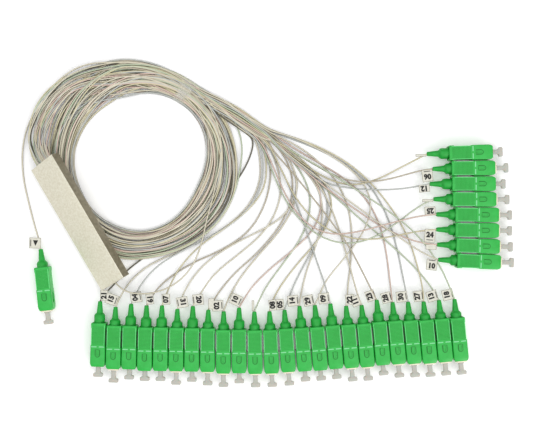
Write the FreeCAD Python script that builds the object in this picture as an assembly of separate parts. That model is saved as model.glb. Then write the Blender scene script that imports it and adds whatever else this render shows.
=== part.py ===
"""Module type 1x32 PLC fibre splitter with loose-tube leads and SC/APC plugs, in millimetres.

The frame stands on the table under the middle of the splitter module: +X runs along the row of
output plugs, +Y away from that row and +Z up.
"""
import FreeCAD, Part
import math
import os

V = FreeCAD.Vector

# ---- splitter module -------------------------------------------------------------------------
CASE_LENGTH = 80.0
CASE_WIDTH = 20.0
CASE_HEIGHT = 6.0
CASE_WALL = 0.6
CASE_CORNER = 0.5
CASE_HEADING = 120.3        # degrees, plan direction from the input end to the output end
CASE_TILT = 33.5            # degrees, the module leans with its inner edge up on the coil
END_CAP_LENGTH = 3.0
END_CAP_INSET = 0.4
END_CAP_CHAMFER = 0.4
END_CAP_SLOT_WIDTH = 14.0
END_CAP_SLOT_HEIGHT = 2.2
CHIP_LENGTH = 20.0
CHIP_WIDTH = 5.0
CHIP_HEIGHT = 1.0
LID_WIDTH = 3.6
LID_HEIGHT = 0.8
LID_BEVEL = 0.4
INPUT_ARRAY_LENGTH = 6.0
INPUT_ARRAY_WIDTH = 2.5
OUTPUT_ARRAY_LENGTH = 10.0
OUTPUT_ARRAY_WIDTH = 6.0
ARRAY_LEDGE_LENGTH = 3.0    # the low rear ledge that carries the fibres
ARRAY_LEDGE_HEIGHT = 0.9
BARE_FIBRE = 0.25
RIBBON_COUNT = 4
RIBBON_WIDTH = 2.2
RIBBON_THICKNESS = 0.3
RIBBON_FLARE = 2.6          # sideways step from one ribbon to the next at the end cap

# ---- fibre leads and coil --------------------------------------------------------------------
FIBRE = 0.9                 # loose tube diameter
FIBRE_SIDES = 3             # sides of a lead's section, so that 33 leads stay light
FIBRE_RUN_IN = 9.0          # straight run of a lead beyond the trunk, where its route starts far off
COIL_X = 30.0
COIL_Y = 36.0
COIL_CENTRE = V(COIL_X, COIL_Y, 0.0)
COIL_CLEARANCE = 0.35       # between the coil and the underside of the module
COIL_SHOULDER = 0.45        # height of the widest part of the coil's section, as a share
COIL_EASE = 0.25            # width of each sloping shoulder, as a share
COIL_TOP = 3.2
COIL_SHAPE = [              # angle, inner radius, outer radius and height, anticlockwise from +X
    (0, 40.7, 60.5, COIL_TOP), (20, 42.2, 59.0, COIL_TOP), (40, 42.3, 57.0, COIL_TOP),
    (60, 41.5, 56.3, COIL_TOP), (80, 38.8, 57.5, COIL_TOP), (100, 36.0, 60.0, COIL_TOP),
    (120, 35.0, 57.0, COIL_TOP), (140, 34.4, 52.5, COIL_TOP), (160, 34.3, 50.0, 3.6),
    (175, 34.4, 49.0, 5.0), (190, 34.6, 48.0, 8.0), (205, 34.8, 45.9, 9.5),
    (220, 36.0, 46.4, 9.5), (235, 38.0, 50.0, 8.0), (250, 39.0, 56.0, 5.5),
    (265, 40.3, 58.3, 4.0), (280, 41.2, 57.6, 3.4), (300, 41.0, 58.5, COIL_TOP),
    (320, 39.4, 60.8, COIL_TOP), (340, 39.0, 61.8, COIL_TOP)]
TAPE_START = 49.0           # degrees round the coil
TAPE_END = 58.0
TAPE_THICKNESS = 0.2
LEAD_BUNDLE = [             # x, y, z, heading, roll, width and height of the leads off the module
    (-19.98, 34.2, 8.02, 120.3, -33.5, 12.6, 1.9), (-23.4, 40.4, 6.4, 113.0, -26.0, 12.8, 2.2),
    (-25.0, 50.0, 3.6, 92.0, -8.0, 12.4, 2.4), (-22.3, 62.0, 1.9, 68.0, 0.0, 11.4, 2.6),
    (-14.5, 73.6, 1.6, 47.0, 0.0, 10.8, 2.6), (-3.0, 82.6, 1.6, 30.0, 0.0, 10.0, 2.6),
    (8.0, 87.6, 1.6, 18.0, 0.0, 8.0, 2.6)]
TRUNK = [                   # the same, where the leads leave the coil for the plugs
    (70.0, 72.8, 1.5, -28.0, 0.0, 8.0, 2.8), (80.0, 67.0, 1.5, -32.0, 0.0, 9.2, 2.8),
    (89.4, 60.8, 1.5, -34.0, 0.0, 9.8, 2.8), (98.5, 54.5, 1.5, -34.0, 0.0, 10.2, 2.8)]
TRUNK_LANES = 9.0           # width across which the leads lie side by side in the trunk
TRUNK_LEVELS = [0.6, 1.5, 2.4]
LEAD_LEVELS = [0.5, 1.5, 2.5, 3.5]

# ---- plugs -----------------------------------------------------------------------------------
GRIP_LENGTH = 25.0
GRIP_WIDTH = 8.5
GRIP_HEIGHT = 7.8
GRIP_BORE_WIDTH = 6.8
GRIP_BORE_HEIGHT = 6.6
GRIP_WAIST = 0.35
GRIP_WAIST_START = 2.6
GRIP_WAIST_END = 12.4
GRIP_SLANT = 0.6
GRIP_NOSE = 2.0
GRIP_NOSE_IN = 0.8
GRIP_TRAVEL = 1.9           # the grip slides this far on the frame to lock and unlatch
GRIP_SEAT = 1.8             # how far the grip's rear edge covers the boot when it is forward
KEY_WIDTH = 2.8
KEY_LENGTH = 5.6
KEY_START = 15.2
KEY_HEIGHT = 0.4
RIB_COUNT = 6
RIB_FIRST = 2.6
RIB_PITCH = 1.7
RIB_GROOVE = 0.7
RIB_DEPTH = 0.25
RIB_SPAN = 6.4
PLAIN_RIBS = 2
WINDOW_START = 15.0
WINDOW_LENGTH = 6.0
WINDOW_HEIGHT = 2.8
FRAME_WIDTH = 6.2
FRAME_HEIGHT = 6.0
FRAME_FRONT = 22.1
FRAME_BORE = 5.0
FRAME_WEB_START = 11.8
FRAME_WEB = 2.4
FRAME_WEB_BORE = 2.9
FRAME_SOCKET = 4.6
LUG_LENGTH = 2.4            # side lugs of the inner body, which run in the grip's windows
LUG_OUT = 0.55
FERRULE = 2.5
FERRULE_TIP = 21.7
FERRULE_ANGLE = 8.0         # degrees, the angled polish
FERRULE_SIDES = 6
FLANGE_DIAMETER = 4.4
FLANGE_LENGTH = 1.8
FLANGE_GAP = 0.1
STOP_LENGTH = 3.4
STOP_CLEARANCE = 0.05
STOP_STUB = 3.0
STOP_STUB_LENGTH = 5.0
STOP_BORE = 1.2
SPRING_DIAMETER = 3.8
SPRING_WIRE = 0.4
SPRING_TURNS = 4
SPRING_STEPS = 12          # straight pieces in one turn
SPRING_CLEARANCE = 0.15
BOOT_COLLAR = 6.3
BOOT_COLLAR_LENGTH = 6.4
BOOT_SHOULDER = 1.6
BOOT_NECK = 3.8
BOOT_TAIL_LENGTH = 6.0
BOOT_TIP = 2.4
BOOT_SIDES = 8
INPUT_BOOT_SIDES = 16
CAP_SLEEVE = 4.2
CAP_SLEEVE_DEPTH = 4.5
CAP_FLOOR = 0.2
CAP_FERRULE_CLEARANCE = 0.05
CAP_STEM = 2.9
CAP_STEM_LENGTH = 4.6
CAP_HEAD = 5.5
CAP_HEAD_LENGTH = 2.7
CAP_THICKNESS = 2.8
CAP_CHAMFER = 0.8
FLAG_LENGTH = 6.2
FLAG_THICKNESS = 0.3
FLAG_GAP = 0.3              # between the flag and the tip of the boot

AXIS_HEIGHT = GRIP_HEIGHT / 2
BOOT_LENGTH = BOOT_TAIL_LENGTH + BOOT_SHOULDER + BOOT_COLLAR_LENGTH

# ---- where each loose plug lies --------------------------------------------------------------
# A plug is placed by the middle of its grip's rear edge; a lean is in degrees.
INPUT_BOOT_TIP = (-23.5, -15.6)
INPUT_HEADING = -83.8
ROW_FIRST = 10.4
ROW_PITCH = 8.926
ROW_REAR = [-57.8, -59.2, -59.3, -60.2, -60.2, -60.4, -60.6, -60.8, -61.7, -61.5, -61.9, -61.7,
            -60.9, -60.5, -60.0, -59.1, -58.6, -58.1, -57.0, -56.4, -56.2, -56.0, -55.2, -54.7]
ROW_LEAN = [-1.6, -1.6, -1.5, -1.4, -1.2, -1.0, -0.8, -0.5, -0.2, 0.2, 1.0, 2.2,
            3.8, 4.8, 5.0, 5.1, 5.2, 5.3, 5.4, 5.4, 5.5, 5.5, 5.6, 5.6]
ROW_GRIP = "FBFFFBFBBFBBBFFFBBFBBBBB"        # F is forward, B is pulled back
COLUMN_FIRST = 39.5
COLUMN_PITCH = 8.8
COLUMN_REAR = [211.0, 212.4, 212.7, 213.0, 214.5, 214.5, 215.0, 215.6]
COLUMN_LEAN = [1.6, 0.8, 0.0, -0.3, -0.6, -1.0, -1.8, -2.2]
COLUMN_GRIP = "FBFBBBBB"

# ---- routes of the leads, from the coil to the plugs ------------------------------------------
# Each lead of the fan-out: the plug it serves, the level it lies at, the width of its number flag
# (to the left of the lead as it enters the boot where negative), the flag's turn in degrees, and
# the lead's points in plan between the trunk and the boot. They are listed in the order in which
# they lie in the trunk, the nearest to the coil first.
FAN_OUT = [
    (1, 0, -4.4, 0, [(99.4, 46.5), (96.5, 36.0), (90.0, 24.5), (77.0, 8.0), (58.0, -7.5),
                      (40.0, -17.5), (27.0, -26.5), (18.5, -36.0), (13.0, -41.5)]),
    (2, 0, 6.8, -18, [(100.5, 47.5), (103.0, 36.0), (102.8, 22.0), (95.0, 7.0), (79.0, -6.0),
                      (58.0, -16.5), (39.0, -24.0), (27.0, -34.5), (21.8, -43.5)]),
    (3, 1, -6.6, 10, [(102.0, 47.0), (104.8, 35.0), (103.8, 20.5), (96.5, 7.0), (81.0, -5.0),
                      (62.0, -14.3), (44.0, -24.3), (34.0, -35.5), (30.5, -43.0)]),
    (5, 1, -4.8, 4, [(103.0, 47.5), (106.8, 35.0), (105.8, 20.0), (97.0, 7.5), (82.0, -4.0),
                     (67.0, -14.0), (55.5, -27.0), (50.5, -37.0), (48.2, -43.2)]),
    (4, 0, -4.4, 8, [(104.0, 48.0), (108.5, 36.0), (109.0, 23.0), (105.0, 8.0), (96.0, -6.5),
                     (80.0, -16.7), (62.0, -24.3), (47.0, -34.3), (40.0, -43.0)]),
    (7, 0, -6.4, 6, [(106.0, 47.0), (111.5, 36.5), (115.2, 23.0), (113.5, 8.0), (104.5, -7.0),
                     (90.0, -19.0), (76.0, -30.0), (68.8, -40.5)]),
    ("C4", 2, 1.6, 0, [(104.0, 44.0), (110.0, 29.0), (116.0, 14.5), (126.0, 0.5), (139.0, -9.8),
                       (154.0, -13.0), (168.0, -9.5), (180.5, -1.5), (191.5, 7.0),
                       (198.3, 11.2)]),
    ("C5", 3, -4.6, 4, [(105.0, 44.5), (111.5, 29.0), (119.0, 12.0), (129.5, -1.5),
                        (143.0, -7.5), (158.5, -6.0), (174.5, -1.6), (190.0, 2.5),
                        (198.8, 4.0)]),
    (6, 0, -6.6, 10, [(112.0, 47.0), (120.0, 36.0), (125.0, 24.0), (123.0, 12.0), (114.0, 1.0),
                      (100.0, -6.5), (84.0, -14.5), (70.0, -24.5), (61.0, -36.0),
                      (57.0, -44.8)]),
    (16, 1, 6.4, 2, [(107.5, 44.0), (115.5, 30.0), (122.5, 14.0), (128.3, -1.0), (133.7, -17.0),
                     (139.0, -32.5), (142.0, -42.0)]),
    ("C6", 2, 7.6, -3, [(108.5, 44.0), (116.5, 27.0), (124.5, 11.5), (136.5, -1.3),
                        (151.0, -8.8), (166.5, -10.5), (182.0, -7.8), (195.0, -5.0)]),
    (8, 0, -3.4, 0, [(110.0, 46.5), (118.0, 37.0), (122.0, 25.0), (121.3, 12.0), (114.5, -2.5),
                     (102.0, -17.5), (88.0, -29.5), (78.5, -41.0), (75.6, -46.0)]),
    (9, 0, 6.6, 4, [(112.0, 46.0), (120.3, 36.0), (124.6, 23.0), (122.5, 8.5), (113.5, -6.5),
                    (101.0, -20.0), (91.0, -32.5), (85.0, -43.0), (83.2, -47.5)]),
    (11, 0, 1.4, 0, [(114.0, 44.0), (124.0, 33.0), (131.0, 20.5), (132.3, 7.0), (127.0, -9.5),
                     (115.0, -25.5), (105.5, -38.5), (101.4, -47.0)]),
    (10, 0, 6.6, -24, [(116.0, 43.5), (127.0, 33.5), (136.5, 22.5), (138.8, 9.0), (134.5, -4.0),
                       (123.0, -15.5), (108.0, -27.5), (97.5, -38.0), (92.9, -45.5)]),
    (14, 0, 6.4, 2, [(117.0, 42.0), (128.0, 31.0), (137.5, 18.5), (139.5, 4.0), (136.0, -12.0),
                     (130.0, -27.0), (127.0, -39.0), (125.9, -44.3)]),
    (13, 0, 4.4, 2, [(118.0, 43.0), (130.0, 32.0), (140.0, 19.5), (142.8, 6.5), (138.0, -7.5),
                     (129.0, -23.5), (121.8, -37.5), (118.6, -46.0)]),
    (12, 0, -4.4, 4, [(119.0, 42.5), (131.5, 32.0), (142.0, 20.5), (145.2, 7.5), (138.5, -8.5),
                      (124.0, -24.5), (113.5, -38.5), (109.2, -47.0)]),
    (19, 3, 5.4, 14, [(109.5, 42.0), (120.5, 29.8), (132.0, 15.5), (143.5, 0.8), (154.5, -14.5),
                      (162.5, -30.0), (167.3, -40.0)]),
    (18, 1, 5.0, 16, [(116.0, 42.0), (128.5, 31.5), (139.0, 19.0), (146.0, 3.5), (151.0, -12.5),
                      (155.5, -28.5), (158.6, -41.0)]),
    (23, 1, 6.2, 12, [(114.5, 41.5), (127.5, 30.6), (142.5, 18.0), (158.5, 3.6), (174.5, -9.8),
                      (189.5, -23.0), (200.0, -35.0), (204.0, -41.8)]),
    ("C7", 2, 3.0, 0, [(115.5, 40.0), (129.0, 29.3), (143.0, 18.0), (157.5, 7.5), (172.0, -2.3),
                        (186.0, -9.0), (197.0, -12.5)]),
    ("C8", 3, 6.4, -4, [(117.0, 40.5), (130.5, 30.0), (144.5, 19.2), (159.0, 8.6), (174.0, -2.5),
                        (187.5, -12.0), (198.0, -18.8)]),
    ("C3", 2, 4.4, 6, [(116.5, 40.0), (129.0, 30.0), (141.0, 22.0), (154.0, 19.6),
                         (168.5, 18.5), (183.0, 18.9), (195.0, 20.8)]),
    ("C1", 1, 1.4, 0, [(118.0, 41.0), (132.0, 30.5), (145.0, 23.2), (158.0, 21.0), (171.5, 24.8),
                       (185.0, 32.0), (194.0, 36.6)]),
    ("C2", 2, 7.0, 6, [(119.0, 42.5), (133.0, 33.8), (146.5, 26.2), (160.0, 22.8),
                         (174.0, 23.9), (187.5, 27.5), (196.5, 30.0)]),
    (17, 0, -5.0, 0, [(121.0, 46.0), (134.5, 37.3), (146.5, 25.0), (153.5, 11.0), (156.2, -5.0),
                      (155.5, -22.0), (153.8, -36.0), (153.0, -43.0)]),
    (24, 3, 6.4, 8, [(119.0, 42.0), (134.0, 33.6), (149.5, 24.3), (165.5, 14.0), (182.0, 2.8),
                     (196.0, -9.8), (206.5, -25.0), (212.3, -38.0)]),
    (20, 0, 5.6, 10, [(122.0, 43.0), (136.5, 34.5), (151.0, 26.0), (163.5, 15.0), (171.8, 0.5),
                      (176.0, -17.0), (178.0, -34.0), (178.5, -42.0)]),
    (15, 1, 6.0, 8, [(121.0, 49.5), (137.0, 42.3), (152.0, 33.5), (163.5, 22.5), (167.7, 9.0),
                     (163.0, -6.0), (151.5, -21.0), (140.5, -34.0), (136.5, -43.5)]),
    (21, 0, 6.4, 2, [(123.0, 47.5), (139.5, 41.0), (155.0, 32.3), (167.3, 20.5), (176.0, 5.5),
                     (181.7, -12.5), (185.3, -30.0), (187.0, -41.0)]),
    (22, 1, 5.4, 2, [(124.0, 48.5), (140.5, 41.8), (156.5, 32.5), (170.0, 19.5), (181.5, 4.5),
                     (189.7, -11.5), (194.7, -28.5), (197.0, -40.5)])]
INPUT_LEAD = [(22.5, -38.0, 6.8), (29.0, -41.0, 5.4), (39.0, -41.4, 5.0), (50.0, -38.3, 4.4),
              (60.0, -31.0, 3.0), (66.5, -20.5, 3.0), (70.0, -9.0, 4.4), (72.3, 2.5, 4.6),
              (75.5, 13.0, 4.2), (77.5, 24.0, 2.6)]
INPUT_TAIL = [(-24.0, 68.0, 2.5), (-29.5, 60.0, 2.5), (-33.5, 50.5, 1.2), (-35.3, 38.0, 0.6),
              (-34.3, 24.0, 0.6), (-31.0, 10.0, 0.6), (-27.6, -2.5, 1.2), (-24.6, -10.5, 3.0)]
INPUT_FLAG = (6.6, -8.0)    # width and turn of the flag on the input lead


def box(x, y, z, dx, dy, dz):
    """A block by its low corner and its size."""
    return Part.makeBox(dx, dy, dz, V(x, y, z))


def centred_box(x, dx, width, height):
    """A block along X, centred on the axis."""
    return box(x, -width / 2, -height / 2, dx, width, height)


def rod(x, length, diameter):
    """A cylinder along X on the axis."""
    return Part.makeCylinder(diameter / 2, length, V(x, 0, 0), V(1, 0, 0))


def closed_face(points):
    """A flat face inside the points."""
    return Part.Face(Part.makePolygon(points + points[:1]))


def ring_of(x, flat_radius, sides):
    """The corners of a regular polygon square to X, with a flat at its top and bottom."""
    points = []
    radius = flat_radius / math.cos(math.pi / sides)
    for index in range(sides):
        angle = math.pi * (2 * index + 1) / sides
        points.append(V(x, radius * math.sin(angle), radius * math.cos(angle)))
    return points


def plate(outline, z, height):
    """A plate with the given outline in plan."""
    return closed_face([V(x, y, z) for x, y in outline]).extrude(V(0, 0, height))


def polyhedron(sections, closed):
    """A solid with flat faces through sections that have the same number of points."""
    faces = []
    count = len(sections)
    size = len(sections[0])
    last = count if closed else count - 1
    for index in range(last):
        here = sections[index]
        there = sections[(index + 1) % count]
        for side in range(size):
            a = here[side]
            b = here[(side + 1) % size]
            c = there[(side + 1) % size]
            d = there[side]
            faces.append(closed_face([a, b, c]))
            faces.append(closed_face([a, c, d]))
    if not closed:
        faces.append(closed_face(sections[0]))
        faces.append(closed_face(sections[-1]))
    shell = Part.Shell(faces)
    shell.sewShape()
    solid = Part.Solid(shell)
    if solid.Volume < 0:
        solid.reverse()
    return solid


def placed(shape, place):
    """The shape moved to its place, with the seams between its coplanar faces removed."""
    return shape.removeSplitter().transformed(place.toMatrix(), copy=True)


def export(name, shapes):
    """Write one node, as one solid or as a group of separate solids."""
    shape = shapes[0] if len(shapes) == 1 else Part.makeCompound(shapes)
    shape.exportStep("parts/" + name + ".step")
    print("%-20s solids %2d volume %9.2f valid %s" % (name, len(shape.Solids), shape.Volume,
                                                     shape.isValid()))


# ---- splitter module, in its own frame: X from the input end to the output end ------------------

def module_place():
    """Leans the module on its outer edge and turns it to its heading."""
    lift = CASE_WIDTH / 2 * math.sin(math.radians(CASE_TILT))
    side = CASE_HEIGHT / 2 * math.sin(math.radians(CASE_TILT))
    lean = FreeCAD.Placement(V(0, -side, lift), FreeCAD.Rotation(V(1, 0, 0), -CASE_TILT))
    turn = FreeCAD.Placement(V(0, 0, 0), FreeCAD.Rotation(V(0, 0, 1), CASE_HEADING))
    return turn.multiply(lean)


def module_underside(point):
    """Height of the leaning module's underside over a point, or None away from it."""
    heading = math.radians(CASE_HEADING)
    along = point.x * math.cos(heading) + point.y * math.sin(heading)
    across = point.x * math.sin(heading) - point.y * math.cos(heading)
    tilt = math.radians(CASE_TILT)
    from_edge = across + CASE_WIDTH / 2 * math.cos(tilt) - CASE_HEIGHT / 2 * math.sin(tilt)
    if abs(along) > CASE_LENGTH / 2 + 2 or from_edge < 0:
        return None
    return min(from_edge, CASE_WIDTH * math.cos(tilt)) * math.tan(tilt)


def case_tube():
    """The drawn metal sleeve, open at both ends."""
    outer = box(-CASE_LENGTH / 2, -CASE_WIDTH / 2, 0, CASE_LENGTH, CASE_WIDTH, CASE_HEIGHT)
    long_edges = [edge for edge in outer.Edges if abs(edge.Length - CASE_LENGTH) < 1e-6]
    outer = outer.makeFillet(CASE_CORNER, long_edges)
    return outer.cut(box(-CASE_LENGTH / 2, -CASE_WIDTH / 2 + CASE_WALL, CASE_WALL, CASE_LENGTH,
                         CASE_WIDTH - 2 * CASE_WALL, CASE_HEIGHT - 2 * CASE_WALL))


def end_cap(side):
    """A moulded plug in one end of the sleeve, side -1 for the input and 1 for the output."""
    outer_face = side * (CASE_LENGTH / 2 - END_CAP_INSET)
    low = min(outer_face, outer_face - side * END_CAP_LENGTH)
    plug = box(low, -CASE_WIDTH / 2 + CASE_WALL, CASE_WALL, END_CAP_LENGTH,
               CASE_WIDTH - 2 * CASE_WALL, CASE_HEIGHT - 2 * CASE_WALL)
    rim = [edge for edge in plug.Edges if abs(edge.BoundBox.Center.x - outer_face) < 1e-6
           and edge.BoundBox.XLength < 1e-6]
    plug = plug.makeChamfer(END_CAP_CHAMFER, rim)
    middle = CASE_HEIGHT / 2
    if side < 0:
        hole = Part.makeCylinder(FIBRE / 2, END_CAP_LENGTH, V(low, 0, middle), V(1, 0, 0))
        return plug.cut(hole)
    slot = box(low, -END_CAP_SLOT_WIDTH / 2, middle - END_CAP_SLOT_HEIGHT / 2, END_CAP_LENGTH,
               END_CAP_SLOT_WIDTH, END_CAP_SLOT_HEIGHT)
    return plug.cut(slot)


def splitter_chip():
    """The waveguide die, seated on the floor of the sleeve."""
    return box(-CHIP_LENGTH / 2, -CHIP_WIDTH / 2, CASE_WALL, CHIP_LENGTH, CHIP_WIDTH, CHIP_HEIGHT)


def chip_lid():
    """The glass lid over the waveguides, with its long top edges bevelled."""
    low = CASE_WALL + CHIP_HEIGHT
    half = LID_WIDTH / 2
    section = [(-half, 0), (half, 0), (half, LID_HEIGHT - LID_BEVEL),
               (half - LID_BEVEL, LID_HEIGHT), (LID_BEVEL - half, LID_HEIGHT),
               (-half, LID_HEIGHT - LID_BEVEL)]
    points = [V(-CHIP_LENGTH / 2, y, low + z) for y, z in section]
    return closed_face(points).extrude(V(CHIP_LENGTH, 0, 0))


def fibre_array(side, length, width):
    """A glass V-groove block glued to one end of the die, with a low ledge behind it."""
    inner = side * CHIP_LENGTH / 2
    outer = inner + side * length
    height = CHIP_HEIGHT + LID_HEIGHT
    block = box(min(inner, outer), -width / 2, CASE_WALL, length, width, height)
    ledge = outer - side * ARRAY_LEDGE_LENGTH
    notch = box(min(outer, ledge), -width / 2, CASE_WALL + ARRAY_LEDGE_HEIGHT,
                ARRAY_LEDGE_LENGTH, width, height - ARRAY_LEDGE_HEIGHT)
    return block.cut(notch)


def input_bare_fibre():
    """The coated fibre that runs from the input end cap down to the array's ledge."""
    start = V(-CASE_LENGTH / 2 + END_CAP_INSET + END_CAP_LENGTH, 0, CASE_HEIGHT / 2)
    end = V(-CHIP_LENGTH / 2 - INPUT_ARRAY_LENGTH + ARRAY_LEDGE_LENGTH / 3, 0,
            CASE_WALL + ARRAY_LEDGE_HEIGHT + BARE_FIBRE / 2)
    return Part.makeCylinder(BARE_FIBRE / 2, (end - start).Length, start, end - start)


def output_ribbons():
    """Flat fibre ribbons, stacked on the array's ledge and fanned out to the end cap's slot."""
    start = CHIP_LENGTH / 2 + OUTPUT_ARRAY_LENGTH - ARRAY_LEDGE_LENGTH
    end = CASE_LENGTH / 2 - END_CAP_INSET - END_CAP_LENGTH
    bend = start + ARRAY_LEDGE_LENGTH
    half = RIBBON_WIDTH / 2
    ribbons = []
    for index in range(RIBBON_COUNT):
        low = CASE_WALL + ARRAY_LEDGE_HEIGHT + index * RIBBON_THICKNESS
        shift = RIBBON_FLARE * (index - (RIBBON_COUNT - 1) / 2)
        outline = [(start, -half), (bend, -half), (end, shift - half), (end, shift + half),
                   (bend, half), (start, half)]
        ribbons.append(plate(outline, low, RIBBON_THICKNESS))
    return ribbons


# ---- plug pieces, in the plug's frame: X runs forward from where the boot meets the frame --------

def grip_outline():
    """The housing in plan, from its rear edge: flange, finger waist, shoulders and nose."""
    half = GRIP_WIDTH / 2
    waist = half - GRIP_WAIST
    left = [(0, half), (GRIP_WAIST_START, half), (GRIP_WAIST_START + GRIP_SLANT, waist),
            (GRIP_WAIST_END, waist), (GRIP_WAIST_END + GRIP_SLANT, half),
            (GRIP_LENGTH - GRIP_NOSE, half), (GRIP_LENGTH, half - GRIP_NOSE_IN)]
    return left + [(x, -y) for x, y in reversed(left)]


def key_outline(nose_points):
    """The key on top of the housing, square behind and round in front."""
    half = KEY_WIDTH / 2
    centre = KEY_START + KEY_LENGTH - half
    outline = [(KEY_START, half), (KEY_START, -half)]
    for index in range(nose_points):
        angle = math.pi * (index / (nose_points - 1) - 0.5)
        outline.append((centre + half * math.cos(angle), half * math.sin(angle)))
    return outline


def housing(ribs, nose_points):
    """The sliding housing with its bore, key and finger grooves."""
    body = plate(grip_outline(), -GRIP_HEIGHT / 2, GRIP_HEIGHT)
    body = body.cut(centred_box(0, GRIP_LENGTH, GRIP_BORE_WIDTH, GRIP_BORE_HEIGHT))
    spacing = RIB_PITCH * (RIB_COUNT - 1) / (ribs - 1)
    for index in range(ribs):
        groove = box(RIB_FIRST + index * spacing, -RIB_SPAN / 2, GRIP_HEIGHT / 2 - RIB_DEPTH,
                     RIB_GROOVE, RIB_SPAN, RIB_DEPTH)
        body = body.cut(groove)
    return body.fuse(plate(key_outline(nose_points), GRIP_HEIGHT / 2, KEY_HEIGHT))


def full_grip():
    """The input plug's housing, which also has its side windows."""
    body = housing(RIB_COUNT, 7)
    return body.cut(box(WINDOW_START, -GRIP_WIDTH, -WINDOW_HEIGHT / 2, WINDOW_LENGTH,
                        2 * GRIP_WIDTH, WINDOW_HEIGHT))


def grip_start(state):
    """Where the housing's rear edge stands, forward or pulled back."""
    return -GRIP_SEAT - (GRIP_TRAVEL if state == "B" else 0)


def lug_start():
    """Where the lugs begin, midway in the windows that the two states of the grip share."""
    window_back = grip_start("F") + WINDOW_START
    window_front = grip_start("B") + WINDOW_START + WINDOW_LENGTH
    return (window_back + window_front - LUG_LENGTH) / 2


def full_frame():
    """The inner body: a bored square tube with a web for the ferrule, and a lug on each side."""
    body = centred_box(0, FRAME_FRONT, FRAME_WIDTH, FRAME_HEIGHT)
    lug = box(lug_start(), -FRAME_WIDTH / 2 - LUG_OUT, -WINDOW_HEIGHT / 4, LUG_LENGTH,
              FRAME_WIDTH + 2 * LUG_OUT, WINDOW_HEIGHT / 2)
    body = body.fuse(lug)
    body = body.cut(rod(0, FRAME_WEB_START, FRAME_BORE))
    body = body.cut(rod(FRAME_WEB_START, FRAME_WEB, FRAME_WEB_BORE))
    socket = FRAME_WEB_START + FRAME_WEB
    return body.cut(centred_box(socket, FRAME_FRONT - socket, FRAME_SOCKET, FRAME_SOCKET))


def plain_frame():
    """An output plug's inner body, closed behind its front socket."""
    body = centred_box(0, FRAME_FRONT, FRAME_WIDTH, FRAME_HEIGHT)
    socket = FRAME_WEB_START + FRAME_WEB
    return body.cut(centred_box(socket, FRAME_FRONT - socket, FRAME_SOCKET, FRAME_SOCKET))


def full_ferrule():
    """The ceramic ferrule with its angled end and the flange that the spring pushes."""
    front = FRAME_WEB_START - FLANGE_GAP
    flange = rod(front - FLANGE_LENGTH, FLANGE_LENGTH, FLANGE_DIAMETER)
    pin = rod(front, FERRULE_TIP - front, FERRULE)
    slope = FERRULE * math.tan(math.radians(FERRULE_ANGLE))
    wedge = closed_face([V(FERRULE_TIP, -FERRULE, FERRULE / 2),
                         V(FERRULE_TIP - slope, -FERRULE, FERRULE / 2),
                         V(FERRULE_TIP, -FERRULE, -FERRULE / 2)])
    return flange.fuse(pin).cut(wedge.extrude(V(0, 2 * FERRULE, 0)))


def plain_ferrule():
    """An output plug's ferrule, standing on the floor of the frame's socket."""
    start = FRAME_WEB_START + FRAME_WEB
    return closed_face(ring_of(start, FERRULE / 2, FERRULE_SIDES)).extrude(
        V(FERRULE_TIP - start, 0, 0))


def ferrule_spring():
    """The coil spring between the stop and the ferrule's flange, square in section."""
    start = STOP_LENGTH + SPRING_CLEARANCE
    end = FRAME_WEB_START - FLANGE_GAP - FLANGE_LENGTH - SPRING_CLEARANCE
    outer = SPRING_DIAMETER / 2
    inner = outer - SPRING_WIRE
    steps = SPRING_TURNS * SPRING_STEPS
    sections = []
    for index in range(steps + 1):
        angle = 2 * math.pi * index / SPRING_STEPS
        low = start + (end - start - SPRING_WIRE) * index / steps
        corners = [(low, inner), (low, outer), (low + SPRING_WIRE, outer),
                   (low + SPRING_WIRE, inner)]
        sections.append([V(x, radius * math.cos(angle), radius * math.sin(angle))
                         for x, radius in corners])
    return polyhedron(sections, False)


def stop_ring():
    """The pressed stop behind the spring, with the stub that the boot grips."""
    disc = rod(0, STOP_LENGTH, FRAME_BORE - 2 * STOP_CLEARANCE)
    stub = rod(-STOP_STUB_LENGTH, STOP_STUB_LENGTH, STOP_STUB)
    bore = rod(-STOP_STUB_LENGTH, STOP_STUB_LENGTH + STOP_LENGTH, STOP_BORE)
    return disc.fuse(stub).cut(bore)


def boot_profile():
    """Distance behind the frame and radius, from the front of the collar to the tip."""
    neck = BOOT_COLLAR_LENGTH + BOOT_SHOULDER
    return [(0, BOOT_COLLAR / 2), (-BOOT_COLLAR_LENGTH, BOOT_COLLAR / 2),
            (-neck, BOOT_NECK / 2), (-BOOT_LENGTH, BOOT_TIP / 2)]


def boot(sides):
    """The tapered form of the rubber boot, with flats instead of round faces."""
    return polyhedron([ring_of(x, radius, sides) for x, radius in boot_profile()], False)


def full_boot():
    """The input plug's boot, bored for the stop's stub."""
    return boot(INPUT_BOOT_SIDES).cut(rod(-STOP_STUB_LENGTH, STOP_STUB_LENGTH, STOP_STUB))


def cap_handle(back_chamfer):
    """The pull tab of the dust cap: a stem and a cross bar with its corners cut."""
    stem = CAP_STEM / 2
    head = CAP_HEAD / 2
    bar = FRAME_FRONT + CAP_STEM_LENGTH
    end = bar + CAP_HEAD_LENGTH
    left = [(FRAME_FRONT, stem), (bar, stem)]
    if back_chamfer:
        left += [(bar, head - CAP_CHAMFER), (bar + CAP_CHAMFER, head)]
    else:
        left += [(bar, head)]
    left += [(end - CAP_CHAMFER, head), (end, head - CAP_CHAMFER)]
    return plate(left + [(x, -y) for x, y in reversed(left)], -CAP_THICKNESS / 2, CAP_THICKNESS)


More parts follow.
